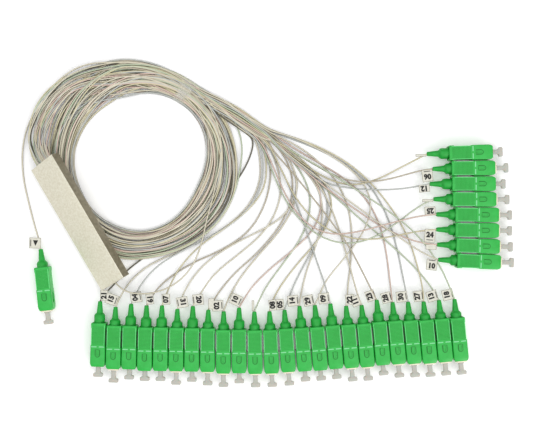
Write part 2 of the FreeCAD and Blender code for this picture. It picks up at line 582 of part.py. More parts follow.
def full_cap():
    """The input plug's dust cap, whose round sleeve covers the ferrule."""
    start = FRAME_FRONT - CAP_SLEEVE_DEPTH
    bore = rod(start, CAP_SLEEVE_DEPTH - CAP_FLOOR, FERRULE + 2 * CAP_FERRULE_CLEARANCE)
    return rod(start, CAP_SLEEVE_DEPTH, CAP_SLEEVE).fuse(cap_handle(True)).cut(bore)


def plain_cap():
    """An output plug's dust cap, whose square sleeve grips the ferrule."""
    start = FRAME_FRONT - CAP_SLEEVE_DEPTH
    bore = centred_box(start, CAP_SLEEVE_DEPTH - CAP_FLOOR, FERRULE, FERRULE)
    sleeve = centred_box(start, CAP_SLEEVE_DEPTH, CAP_SLEEVE, CAP_SLEEVE)
    return sleeve.fuse(cap_handle(False)).cut(bore)


def number_flag(width, turn):
    """A folded paper flag behind the boot; positive widths hang to the lead's right."""
    front = -BOOT_LENGTH - FLAG_GAP
    side = -abs(width) if width > 0 else 0
    paper = box(front - FLAG_LENGTH, side, -FLAG_THICKNESS / 2, FLAG_LENGTH, abs(width),
                FLAG_THICKNESS)
    paper.rotate(V(front, 0, 0), V(0, 0, 1), turn)
    return paper


# ---- places of the plugs ----------------------------------------------------------------------------

def heading_vector(heading):
    """Unit vector of a heading in plan."""
    return V(math.cos(math.radians(heading)), math.sin(math.radians(heading)), 0)


def plug_place(x, y, heading):
    """Lays a plug on the table with its key up, x and y being where its boot meets its frame."""
    return FreeCAD.Placement(V(x, y, AXIS_HEIGHT), FreeCAD.Rotation(V(0, 0, 1), heading))


def place_by_rear(x, y, heading, state):
    """A plug's place from the middle of its grip's rear edge."""
    ahead = heading_vector(heading)
    seat = -grip_start(state)
    return plug_place(x + ahead.x * seat, y + ahead.y * seat, heading)


def output_plugs():
    """Place and grip state of each output plug, by its number."""
    plugs = {}
    for index, state in enumerate(ROW_GRIP):
        plugs[index + 1] = (place_by_rear(ROW_FIRST + ROW_PITCH * index, ROW_REAR[index],
                                          ROW_LEAN[index] - 90, state), state)
    for index, state in enumerate(COLUMN_GRIP):
        plugs["C%d" % (index + 1)] = (place_by_rear(COLUMN_REAR[index],
                                                    COLUMN_FIRST - COLUMN_PITCH * index,
                                                    COLUMN_LEAN[index], state), state)
    return plugs


def input_place():
    """Place of the input plug from the tip of its boot."""
    ahead = heading_vector(INPUT_HEADING)
    x, y = INPUT_BOOT_TIP
    return plug_place(x + ahead.x * BOOT_LENGTH, y + ahead.y * BOOT_LENGTH, INPUT_HEADING)


def boot_tip(place):
    """The end of the boot, where the lead goes in."""
    return place.multVec(V(-BOOT_LENGTH, 0, 0))


# ---- leads ------------------------------------------------------------------------------------------

def lead_path(points):
    """Straight runs joined by tangent arcs, each as large as its two runs allow."""
    edges = []
    start = points[0]
    smallest = math.inf
    for index in range(1, len(points) - 1):
        corner = points[index]
        back = points[index - 1] - corner
        ahead = points[index + 1] - corner
        reach = 0.45 * min(back.Length, ahead.Length)
        back.normalize()
        ahead.normalize()
        half_turn = (math.pi - back.getAngle(ahead)) / 2
        radius = reach / math.tan(half_turn)
        smallest = min(smallest, radius)
        inward = back + ahead
        inward.normalize()
        middle = corner + inward * (radius / math.cos(half_turn) - radius)
        enter = corner + back * reach
        leave = corner + ahead * reach
        edges.append(Part.LineSegment(start, enter).toShape())
        edges.append(Part.Arc(enter, middle, leave).toShape())
        start = leave
    edges.append(Part.LineSegment(start, points[-1]).toShape())
    return Part.Wire(edges), smallest


def lead_tube(name, points):
    """One lead along its route, with its smallest radius and its volume printed."""
    path, smallest = lead_path(points)
    turn = FreeCAD.Rotation(V(1, 0, 0), points[1] - points[0])
    flat = FIBRE / 2 * math.cos(math.pi / FIBRE_SIDES)
    ring = [points[0] + turn.multVec(corner) for corner in ring_of(0, flat, FIBRE_SIDES)]
    tube = path.makePipeShell([Part.makePolygon(ring + ring[:1])], True, False)
    share = tube.Volume / (closed_face(ring).Area * path.Length)
    print("lead %-6s length %6.1f radius %5.1f volume share %.3f valid %s" % (
        name, path.Length, smallest, share, tube.isValid()))
    return tube


def trunk_seat(order):
    """Where a lead leaves the trunk, by its order across it."""
    x, y, _, heading, _, _, _ = TRUNK[-1]
    across = heading_vector(heading + 90)
    share = order / (len(FAN_OUT) - 1) - 0.5
    seat = V(x, y, TRUNK_LEVELS[order % len(TRUNK_LEVELS)])
    return seat + across * (TRUNK_LANES * share)


def fan_points(order, level, plan, tip):
    """A fan-out lead's points: its seat in the trunk, its route and the boot's tip."""
    seat = trunk_seat(order)
    points = [seat]
    first = V(plan[0][0], plan[0][1], seat.z)
    if (first - seat).Length > 1.5 * FIBRE_RUN_IN:
        points.append(seat + heading_vector(TRUNK[-1][3]) * FIBRE_RUN_IN)
    height = LEAD_LEVELS[level]
    for index, (x, y) in enumerate(plan):
        z = height
        if index == 0:
            z = (seat.z + height) / 2
        if index == len(plan) - 1:
            z = (height + 3 * tip.z) / 4
        points.append(V(x, y, z))
    return points + [tip]


def bundle(stations):
    """A bundle of leads: a flat bar with eased edges through its stations."""
    sections = []
    for x, y, z, heading, roll, width, height in stations:
        turn = FreeCAD.Rotation(V(0, 0, 1), heading).multiply(FreeCAD.Rotation(V(1, 0, 0), roll))
        half = width / 2
        rise = height / 2
        ease = height / 3
        outline = [(half - ease, -rise), (half, 0), (half - ease, rise), (ease - half, rise),
                   (-half, 0), (ease - half, -rise)]
        sections.append([V(x, y, z) + turn.multVec(V(0, a, b)) for a, b in outline])
    return polyhedron(sections, False)


def coil_size(angle):
    """Inner radius, outer radius and height of the coil at an angle in degrees."""
    rows = COIL_SHAPE + [(360,) + COIL_SHAPE[0][1:]]
    for low, high in zip(rows, rows[1:]):
        if low[0] <= angle <= high[0]:
            part = (angle - low[0]) / (high[0] - low[0])
            return [low[k] + part * (high[k] - low[k]) for k in (1, 2, 3)]


def coil_section(angle, grow):
    """The coil's outline at an angle, grown outwards, kept under the leaning module."""
    inner, outer, height = coil_size(angle)
    width = outer - inner
    out = heading_vector(angle)
    outline = [(inner, 0), (inner, COIL_SHOULDER * height), (inner + COIL_EASE * width, height),
               (outer - COIL_EASE * width, height), (outer, COIL_SHOULDER * height), (outer, 0)]
    points = []
    for index, (radius, z) in enumerate(outline):
        radius += grow if index > 2 else -grow
        point = COIL_CENTRE + out * radius
        roof = module_underside(point)
        point.z = z + grow if z > 0 else z
        if roof is not None:
            point.z = max(min(point.z, roof - COIL_CLEARANCE), z if z == 0 else 0.1)
        points.append(point)
    return points


def fibre_coil():
    """The loose coil of all the leads: one closed ring with sloping shoulders."""
    return polyhedron([coil_section(row[0], 0) for row in COIL_SHAPE], True)


def coil_tape():
    """The clear tape over the coil, down both of its sides to the table."""
    sections = []
    for angle in (TAPE_START, TAPE_END):
        outer = coil_section(angle, TAPE_THICKNESS)
        inner = coil_section(angle, 0)
        sections.append(outer + list(reversed(inner)))
    return polyhedron(sections, False)


# ---- nodes -------------------------------------------------------------------------------------------

def export_module():
    place = module_place()
    nodes = {"case_tube": [case_tube()], "input_end_cap": [end_cap(-1)],
             "output_end_cap": [end_cap(1)], "splitter_chip": [splitter_chip()],
             "chip_lid": [chip_lid()],
             "input_array": [fibre_array(-1, INPUT_ARRAY_LENGTH, INPUT_ARRAY_WIDTH)],
             "output_array": [fibre_array(1, OUTPUT_ARRAY_LENGTH, OUTPUT_ARRAY_WIDTH)],
             "input_bare_fibre": [input_bare_fibre()], "output_ribbons": output_ribbons()}
    for name, shapes in nodes.items():
        export(name, [placed(shape, place) for shape in shapes])


def export_input_plug():
    place = input_place()
    grip = full_grip()
    grip.translate(V(grip_start("B"), 0, 0))
    width, turn = INPUT_FLAG
    nodes = {"input_grip": grip, "input_frame": full_frame(), "input_ferrule": full_ferrule(),
             "input_spring": ferrule_spring(), "input_stop": stop_ring(),
             "input_boot": full_boot(), "input_cap": full_cap(),
             "input_flag": number_flag(width, turn)}
    for name, shape in nodes.items():
        export(name, [placed(shape, place)])


def export_output_plugs(plugs):
    grip = housing(PLAIN_RIBS, 4)
    for index, (place, state) in enumerate(plugs.values()):
        shape = grip.copy()
        shape.translate(V(grip_start(state), 0, 0))
        export("output_grip_%02d" % (index + 1), [placed(shape, place)])
    pieces = {"output_frames": plain_frame(), "output_ferrules": plain_ferrule(),
              "output_boots": boot(BOOT_SIDES), "output_caps": plain_cap()}
    for name, shape in pieces.items():
        export(name, [placed(shape, place) for place, _ in plugs.values()])
    flags = [placed(number_flag(width, turn), plugs[plug][0])
             for plug, _, width, turn, _ in FAN_OUT]
    export("output_flags", flags)


def export_leads(plugs):
    fan = []
    for order, (plug, level, _, _, plan) in enumerate(FAN_OUT):
        tip = boot_tip(plugs[plug][0])
        fan.append(lead_tube(plug, fan_points(order, level, plan, tip)))
    export("fan_out", fan)
    export("output_bundle", [bundle(LEAD_BUNDLE), bundle(TRUNK)])
    export("fibre_coil", [fibre_coil()])
    export("coil_tape", [coil_tape()])
    outlet = V(-CASE_LENGTH / 2 + END_CAP_INSET, 0, CASE_HEIGHT / 2)
    start = module_place().multVec(outlet)
    export("input_lead", [lead_tube("input", [start] + [V(*point) for point in INPUT_LEAD])])
    tail = [V(*point) for point in INPUT_TAIL] + [boot_tip(input_place())]
    export("input_tail", [lead_tube("tail", tail)])


def main():
    os.makedirs("parts", exist_ok=True)
    plugs = output_plugs()
    export_module()
    export_leads(plugs)
    export_input_plug()
    export_output_plugs(plugs)


main()
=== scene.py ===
import math

import bmesh
import bpy
from bpy.props import FloatProperty, FloatVectorProperty, IntProperty, PointerProperty
from mathutils import Matrix, Vector


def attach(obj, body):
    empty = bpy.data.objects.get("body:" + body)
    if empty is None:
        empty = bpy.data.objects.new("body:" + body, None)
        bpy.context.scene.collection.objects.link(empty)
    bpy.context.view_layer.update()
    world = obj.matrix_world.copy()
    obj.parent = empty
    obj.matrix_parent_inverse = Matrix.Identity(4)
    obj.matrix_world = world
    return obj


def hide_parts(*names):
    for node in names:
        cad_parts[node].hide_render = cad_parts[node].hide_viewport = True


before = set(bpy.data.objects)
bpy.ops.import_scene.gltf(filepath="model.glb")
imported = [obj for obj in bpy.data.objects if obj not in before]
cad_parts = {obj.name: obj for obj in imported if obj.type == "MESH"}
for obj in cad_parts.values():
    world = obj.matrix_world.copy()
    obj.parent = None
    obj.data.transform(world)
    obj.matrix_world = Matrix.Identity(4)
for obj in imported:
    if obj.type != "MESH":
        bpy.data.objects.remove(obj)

bl_info = {
    "name": "PLC Fibre Splitter",
    "version": (1, 0, 0),
    "blender": (4, 5, 0),
    "location": "3D View > Sidebar > Splitter",
    "description": "A loose-tube PLC fibre splitter: module, coil, fan-out and square plugs",
    "category": "Add Mesh",
}

# Sizes are in millimetres until a mesh or a curve is made, and headings are in degrees.
MM = 0.001
CASE = Vector((80.0, 20.0, 6.0))
CASE_WALL = 0.6
CASE_EASE = (0.12, 0.1)     # the rounding of the sleeve's ends, along it and inwards
CASE_HEADING = 120.3
CASE_TILT = 33.5
END_PLUG_INSET = 0.4        # from the sleeve's end to the face of its end plug
OUTLET_SPREAD = 12.0        # width over which the pigtails leave the module
ROOF_CLEARANCE = 0.4        # between the coil and the module that leans on it
AXIS_HEIGHT = 3.9
BOOT_LENGTH = 14.0
LEAD = 0.9
PIGTAIL_LENGTH = 0.9        # metres, from the module to a plug
INPUT_LENGTH = 0.95         # metres, from the module to the input plug
FLAG_LENGTH = 6.2
FLAG_GAP = 0.3
FLAG_HALF = 0.13            # half of the folded paper's thickness
PRINT = 0.02                # thickness of the print on a flag
BAR_FROM = 5.0              # the flags that are wider than this have a bar under their number
BAR_DROP = 2.45
NUMBER_FROM = 3.5           # the flags that are wider than this have a number

# The grip: places along it are from its rear edge.
GRIP_LENGTH = 25.0
GRIP_SEAT = 1.8             # how far its rear edge stands behind the inner body's
GRIP_TRAVEL = 1.9
GRIP_BORE = (3.4, 3.3)      # half width and half height
WINDOW = ((15.0, -5.0, -1.4), (21.0, 5.0, 1.4))
PANEL_RIM = (1.2, 12.6)
PANEL_FLOOR = (1.6, 12.3)
PANEL_HALF = 3.4
RIM_WIDTH = 0.45
RIM_HEIGHT = 0.3
RIBS_START = 1.9
RIBS_RUN = 10.3             # shared out among the ribs as their pitch
RIBS_SOLID = 4.9            # shared out among the ribs as their width
RIB_SPAN = 6.6
RIB_HEIGHT = 0.2
DASH = (13.25, 13.85)
DASH_SIDES = (-3.65, 0.65)
DASH_LENGTH = 3.0
KEY_BACK = 15.2
KEY_HEIGHT = 0.35
KEY_RIM = (1.0, 3.9)        # half width and length, as in the next two
KEY_MIDDLE = (0.55, 3.4)
KEY_LINE = (1.5, 4.4)
SUNK = 0.05                 # how far an added shape reaches into the one under it

# The inner body and what it carries: places along them are from its rear edge.
FRAME_FRONT = 22.1
FRAME_HALF = (3.1, 3.0)
FRAME_EASE = 0.25
SOCKET_HALF = 2.3
WEB_FRONT = 14.2
LUG = (14.05, 16.45)
LUG_OUT = (3.0, 3.65)
LUG_HALF = 0.7
FERRULE_RADIUS = 1.25
FERRULE_TIP = 0.95          # radius of its eased, angled end
FERRULE_SLOPE = 0.07
CAP_BACK = 17.6
CAP_RADIUS = 2.1
CAP_BORE = 1.28
SPRING_START = 3.77
STOP_LENGTH = 3.4
STOP_STUB = -5.0

# Where each loose plug lies: its grip's rear edge, lean and state (F forward, B pulled back).
INPUT_TIP = (-23.5, -15.6)  # the input plug's place is that of its boot's tip
INPUT_HEADING = -83.8
ROW_FIRST = 10.4
ROW_PITCH = 8.926
ROW_REAR = [-57.8, -59.2, -59.3, -60.2, -60.2, -60.4, -60.6, -60.8, -61.7, -61.5, -61.9, -61.7,
            -60.9, -60.5, -60.0, -59.1, -58.6, -58.1, -57.0, -56.4, -56.2, -56.0, -55.2, -54.7]
ROW_LEAN = [-1.6, -1.6, -1.5, -1.4, -1.2, -1.0, -0.8, -0.5, -0.2, 0.2, 1.0, 2.2,
            3.8, 4.8, 5.0, 5.1, 5.2, 5.3, 5.4, 5.4, 5.5, 5.5, 5.6, 5.6]
ROW_GRIP = "FBFFFBFBBFBBBFFFBBFBBBBB"
COLUMN_FIRST = 39.5
COLUMN_PITCH = 8.8
COLUMN_REAR = [211.0, 212.4, 212.7, 213.0, 214.5, 214.5, 215.0, 215.6]
COLUMN_LEAN = [1.6, 0.8, 0.0, -0.3, -0.6, -1.0, -1.8, -2.2]
COLUMN_GRIP = "FBFBBBBB"

# Plain numbers on the flags, row first and then the column, and the flags whose print is turned.
LABELS = [21, 15, 4, 19, 7, 31, 20, 3, 2, 10, 26, 8, 5, 14, 29, 9, 22, 11, 23, 28, 30, 27, 13, 18,
          16, 6, 12, 17, 25, 24, 32, 1]
TURNED_PRINT = (4, 6, 7, "C6")

# The coil: angle, inner radius, outer radius and height, anticlockwise from +X. Turns are negative
# where they run clockwise, and a lead's spline has a point at every step.
COIL_CENTRE = Vector((30.0, 36.0, 0.0))
COIL = [(0, 40.7, 60.5, 3.2), (20, 42.2, 59.0, 3.2), (40, 42.3, 57.0, 3.2), (60, 41.5, 56.3, 3.2),
        (80, 38.8, 57.5, 3.2), (100, 36.0, 60.0, 3.2), (120, 35.0, 57.0, 3.2),
        (140, 34.4, 52.5, 3.2), (160, 34.3, 50.0, 3.6), (175, 34.4, 49.0, 5.0),
        (190, 34.6, 48.0, 8.0), (205, 34.8, 45.9, 9.5), (220, 36.0, 46.4, 9.5),
        (235, 38.0, 50.0, 8.0), (250, 39.0, 56.0, 5.5), (265, 40.3, 58.3, 4.0),
        (280, 41.2, 57.6, 3.4), (300, 41.0, 58.5, 3.2), (320, 39.4, 60.8, 3.2),
        (340, 39.0, 61.8, 3.2)]
COIL_STEP = 15.0
COIL_LANES = 16
OUTPUT_START = 100.0
OUTPUT_TURN = -(720.0 + 48.0)
INPUT_START = 2.0
INPUT_TURN = 720.0 + 82.0
TOP_LEAD = 0                # the pigtail that lies on top of the coil, by its order in FAN_OUT
BULGE_LEAD = 6              # the pigtail that stands out of the coil, and how far and where
BULGE = 4.5
BULGE_ANGLE = 15.0
BULGE_SPREAD = 32.0

# The tape over the coil: first and last angle, and the profile in shares of the coil's width
# and height.
TAPE = (49.0, 58.0, [(-0.2, 0.1), (-0.2, 0.5), (0.25, 1.0), (0.75, 1.0), (1.2, 0.5), (1.2, 0.1)])
TAPE_END = (51.0, 56.5, [(0.16, 0.9), (0.25, 1.0), (0.5, 1.0)])
TAPE_OUT = 0.2              # how far the tape stands off the coil's sides
TAPE_WALL = (0.12, 0.1)     # to the side and downwards

# Leads off the module and out of the coil: x, y, z, heading, roll, width and height.
LEAD_BUNDLE = [(-23.4, 40.4, 6.4, 113.0, -26.0, 12.8, 2.2),
               (-25.0, 50.0, 3.6, 92.0, -8.0, 12.4, 2.4), (-22.3, 62.0, 1.9, 68.0, 0.0, 11.4, 2.6),
               (-14.5, 73.6, 1.6, 47.0, 0.0, 10.8, 2.6), (-3.0, 82.6, 1.6, 30.0, 0.0, 10.0, 2.6)]
TRUNK = [(70.0, 72.8, 1.5, -28.0, 0.0, 8.0, 2.8), (80.0, 67.0, 1.5, -32.0, 0.0, 9.2, 2.8),
         (89.4, 60.8, 1.5, -34.0, 0.0, 9.8, 2.8)]
TRUNK_END = (98.5, 54.5, -34.0)
TRUNK_LANES = 9.0
TRUNK_LEVELS = [0.6, 1.5, 2.4]
LEAD_LEVELS = [0.5, 1.5, 2.5, 3.5]
RUN_IN = 9.0                # the straight run of a lead out of the trunk

# Fan-out: the plug, its level, its flag's width and turn, and the route from trunk to boot.
FAN_OUT = [
    (1, 0, -4.4, 0, [(99.4, 46.5), (96.5, 36), (90, 24.5), (77, 8), (58, -7.5), (40, -17.5),
        (27, -26.5), (18.5, -36), (13, -41.5)]),
    (2, 0, 6.8, -18, [(100.5, 47.5), (103, 36), (102.8, 22), (95, 7), (79, -6), (58, -16.5),
        (39, -24), (27, -34.5), (21.8, -43.5)]),
    (3, 1, -6.6, 10, [(102, 47), (104.8, 35), (103.8, 20.5), (96.5, 7), (81, -5), (62, -14.3),
        (44, -24.3), (34, -35.5), (30.5, -43)]),
    (5, 1, -4.8, 4, [(103, 47.5), (106.8, 35), (105.8, 20), (97, 7.5), (82, -4), (67, -14),
        (55.5, -27), (50.5, -37), (48.2, -43.2)]),
    (4, 0, -4.4, 8, [(104, 48), (108.5, 36), (109, 23), (105, 8), (96, -6.5), (80, -16.7),
        (62, -24.3), (47, -34.3), (40, -43)]),
    (7, 0, -6.4, 6, [(106, 47), (111.5, 36.5), (115.2, 23), (113.5, 8), (104.5, -7), (90, -19),
        (76, -30), (68.8, -40.5)]),
    ("C4", 2, 1.6, 0, [(104, 44), (110, 29), (116, 14.5), (126, 0.5), (139, -9.8), (154, -13),
        (168, -9.5), (180.5, -1.5), (191.5, 7), (198.3, 11.2)]),
    ("C5", 3, -4.6, 4, [(105, 44.5), (111.5, 29), (119, 12), (129.5, -1.5), (143, -7.5),
        (158.5, -6), (174.5, -1.6), (190, 2.5), (198.8, 4)]),
    (6, 0, -6.6, 10, [(112, 47), (120, 36), (125, 24), (123, 12), (114, 1), (100, -6.5),
        (84, -14.5), (70, -24.5), (61, -36), (57, -44.8)]),
    (16, 1, 6.4, 2, [(107.5, 44), (115.5, 30), (122.5, 14), (128.3, -1), (133.7, -17),
        (139, -32.5), (142, -42)]),
    ("C6", 2, 7.6, -3, [(108.5, 44), (116.5, 27), (124.5, 11.5), (136.5, -1.3), (151, -8.8),
        (166.5, -10.5), (182, -7.8), (195, -5)]),
    (8, 0, -3.4, 0, [(110, 46.5), (118, 37), (122, 25), (121.3, 12), (114.5, -2.5), (102, -17.5),
        (88, -29.5), (78.5, -41), (75.6, -46)]),
    (9, 0, 6.6, 4, [(112, 46), (120.3, 36), (124.6, 23), (122.5, 8.5), (113.5, -6.5), (101, -20),
        (91, -32.5), (85, -43), (83.2, -47.5)]),
    (11, 0, 1.4, 0, [(114, 44), (124, 33), (131, 20.5), (132.3, 7), (127, -9.5), (115, -25.5),
        (105.5, -38.5), (101.4, -47)]),
    (10, 0, 6.6, -24, [(116, 43.5), (127, 33.5), (136.5, 22.5), (138.8, 9), (134.5, -4),
        (123, -15.5), (108, -27.5), (97.5, -38), (92.9, -45.5)]),
    (14, 0, 6.4, 2, [(117, 42), (128, 31), (137.5, 18.5), (139.5, 4), (136, -12), (130, -27),
        (127, -39), (125.9, -44.3)]),
    (13, 0, 4.4, 2, [(118, 43), (130, 32), (140, 19.5), (142.8, 6.5), (138, -7.5), (129, -23.5),
        (121.8, -37.5), (118.6, -46)]),
    (12, 0, -4.4, 4, [(119, 42.5), (131.5, 32), (142, 20.5), (145.2, 7.5), (138.5, -8.5),
        (124, -24.5), (113.5, -38.5), (109.2, -47)]),
    (19, 3, 5.4, 14, [(109.5, 42), (120.5, 29.8), (132, 15.5), (143.5, 0.8), (154.5, -14.5),
        (162.5, -30), (167.3, -40)]),
    (18, 1, 5, 16, [(116, 42), (128.5, 31.5), (139, 19), (146, 3.5), (151, -12.5), (155.5, -28.5),
        (158.6, -41)]),
    (23, 1, 6.2, 12, [(114.5, 41.5), (127.5, 30.6), (142.5, 18), (158.5, 3.6), (174.5, -9.8),
        (189.5, -23), (200, -35), (204, -41.8)]),
    ("C7", 2, 3, 0, [(115.5, 40), (129, 29.3), (143, 18), (157.5, 7.5), (172, -2.3), (186, -9),
        (197, -12.5)]),
    ("C8", 3, 6.4, -4, [(117, 40.5), (130.5, 30), (144.5, 19.2), (159, 8.6), (174, -2.5),
        (187.5, -12), (198, -18.8)]),
    ("C3", 2, 4.4, 6, [(116.5, 40), (129, 30), (141, 22), (154, 19.6), (168.5, 18.5), (183, 18.9),
        (195, 20.8)]),
    ("C1", 1, 1.4, 0, [(118, 41), (132, 30.5), (145, 23.2), (158, 21), (171.5, 24.8), (185, 32),
        (194, 36.6)]),
    ("C2", 2, 7, 6, [(119, 42.5), (133, 33.8), (146.5, 26.2), (160, 22.8), (174, 23.9),
        (187.5, 27.5), (196.5, 30)]),
    (17, 0, -5, 0, [(121, 46), (134.5, 37.3), (146.5, 25), (153.5, 11), (156.2, -5), (155.5, -22),
        (153.8, -36), (153, -43)]),
    (24, 3, 6.4, 8, [(119, 42), (134, 33.6), (149.5, 24.3), (165.5, 14), (182, 2.8), (196, -9.8),
        (206.5, -25), (212.3, -38)]),
    (20, 0, 5.6, 10, [(122, 43), (136.5, 34.5), (151, 26), (163.5, 15), (171.8, 0.5), (176, -17),
        (178, -34), (178.5, -42)]),
    (15, 1, 6, 8, [(121, 49.5), (137, 42.3), (152, 33.5), (163.5, 22.5), (167.7, 9), (163, -6),
        (151.5, -21), (140.5, -34), (136.5, -43.5)]),
    (21, 0, 6.4, 2, [(123, 47.5), (139.5, 41), (155, 32.3), (167.3, 20.5), (176, 5.5),
        (181.7, -12.5), (185.3, -30), (187, -41)]),
    (22, 1, 5.4, 2, [(124, 48.5), (140.5, 41.8), (156.5, 32.5), (170, 19.5), (181.5, 4.5),
        (189.7, -11.5), (194.7, -28.5), (197, -40.5)])]
INPUT_LEAD = [(22.5, -38.0, 6.8), (29.0, -41.0, 5.4), (39.0, -41.4, 5.0), (50.0, -38.3, 4.4),
              (60.0, -31.0, 3.0), (66.5, -20.5, 3.0), (70.0, -9.0, 4.4), (72.3, 2.5, 4.6),
              (75.5, 13.0, 4.2), (77.5, 24.0, 3.0)]
INPUT_OVER = [(8.0, 92.6, 2.0), (-4.0, 89.0, 2.0), (-13.0, 82.6, 2.0), (-19.5, 75.4, 2.2)]
INPUT_TAIL = [(-24.0, 68.0, 2.5), (-29.5, 60.0, 2.5), (-33.5, 50.5, 1.2), (-35.3, 38.0, 0.6),
              (-34.3, 24.0, 0.6), (-31.0, 10.0, 0.6), (-27.6, -2.5, 1.2), (-24.6, -10.5, 3.0)]
INPUT_FLAG = (6.6, -8.0)

# The stage, in metres: each lamp's name, place, size and power, where they all point, the camera
# and the floor's half width and height.
LAMPS = [("overhead", (0.1, 0.1, 1.1), 1.2, 2.2), ("side", (-1.5, 0.4, 1.2), 1.4, 7.0),
         ("front", (1.3, -1.3, 1.2), 1.4, 22.0)]
LAMP_TARGET = (0.1, 0.0, 0.0)
CAMERA_PLACE = (0.1065, 0.0, 0.5)
CAMERA_LENS = 58.2
FLOOR_REACH = 12.0
FLOOR_HEIGHT = -0.0002

finishes = {}               # every material by its short name, filled by the first operator


# ---- finishes -----------------------------------------------------------------------------------

def linear(code):
    """A linear colour from an sRGB hex value."""
    parts = [int(code[i:i + 2], 16) / 255 for i in (0, 2, 4)]
    return [c / 12.92 if c <= 0.04045 else ((c + 0.055) / 1.055) ** 2.4 for c in parts] + [1.0]


def add_node(tree, kind, links=None, inputs=None, **settings):
    """Adds a node with its settings, input values and links: {input: (node, output)}."""
    node = tree.nodes.new(kind)
    for name, value in settings.items():
        setattr(node, name, value)
    for name, value in (inputs or {}).items():
        node.inputs[name].default_value = value
    for name, (source, output) in (links or {}).items():
        tree.links.new(source.outputs[output], node.inputs[name])
    return node


def patches(tree, size, detail):
    """Noise over patches of a real size in millimetres, fixed to the object."""
    place = add_node(tree, "ShaderNodeTexCoord")
    return add_node(tree, "ShaderNodeTexNoise", {"Vector": (place, "Object")},
                    {"Scale": 1.0 / (size * MM), "Detail": detail})


def two_tones(tree, source, output, stops):
    """A base colour that follows an output from one tone to another: (value, sRGB hex) twice."""
    ramp = add_node(tree, "ShaderNodeValToRGB", {"Fac": (source, output)})
    for element, (value, code) in zip(ramp.color_ramp.elements, stops):
        element.position = value
        element.color = linear(code)
    tree.links.new(ramp.outputs["Color"], tree.nodes["Principled BSDF"].inputs["Base Color"])


def mottle(material, dark, light, size, detail=3.0):
    """Colour that drifts between two tones over patches of a real size in millimetres."""
    tree = material.node_tree
    two_tones(tree, patches(tree, size, detail), "Fac", [(0.35, dark), (0.65, light)])


def paint_flank_shade(material, flank_shade, crown):
    """Painted shade: colour that goes from one tone on a tube's flanks to another along its crown,
    by how far the surface turns from facing up.
    """
    tree = material.node_tree
    surface = add_node(tree, "ShaderNodeNewGeometry")
    split = add_node(tree, "ShaderNodeSeparateXYZ", {"Vector": (surface, "Normal")})
    two_tones(tree, split, "Z", [(0.35, flank_shade), (0.88, crown)])


def grain(material, size, depth):
    """A fine surface grain of a real size and depth in millimetres."""
    tree = material.node_tree
    noise = patches(tree, size, 2.0)
    bump = add_node(tree, "ShaderNodeBump", {"Height": (noise, "Fac")},
                    {"Strength": 0.4, "Distance": depth * MM})
    tree.links.new(bump.outputs["Normal"], tree.nodes["Principled BSDF"].inputs["Normal"])


def finish(key, name, colour, roughness, tones=None, texture=None, **sockets):
    """Adds a Principled material with constants on its own sockets. The tones are what mottle
    takes and the texture is what grain takes, where it has them."""
    material = bpy.data.materials.new(name)
    material.use_nodes = True
    shader = material.node_tree.nodes["Principled BSDF"]
    shader.inputs["Base Color"].default_value = linear(colour)
    shader.inputs["Roughness"].default_value = roughness
    for socket, value in sockets.items():
        shader.inputs[socket.replace("_", " ")].default_value = value
    if tones:
        mottle(material, *tones)
    if texture:
        grain(material, *texture)
    finishes[key] = material
    return material


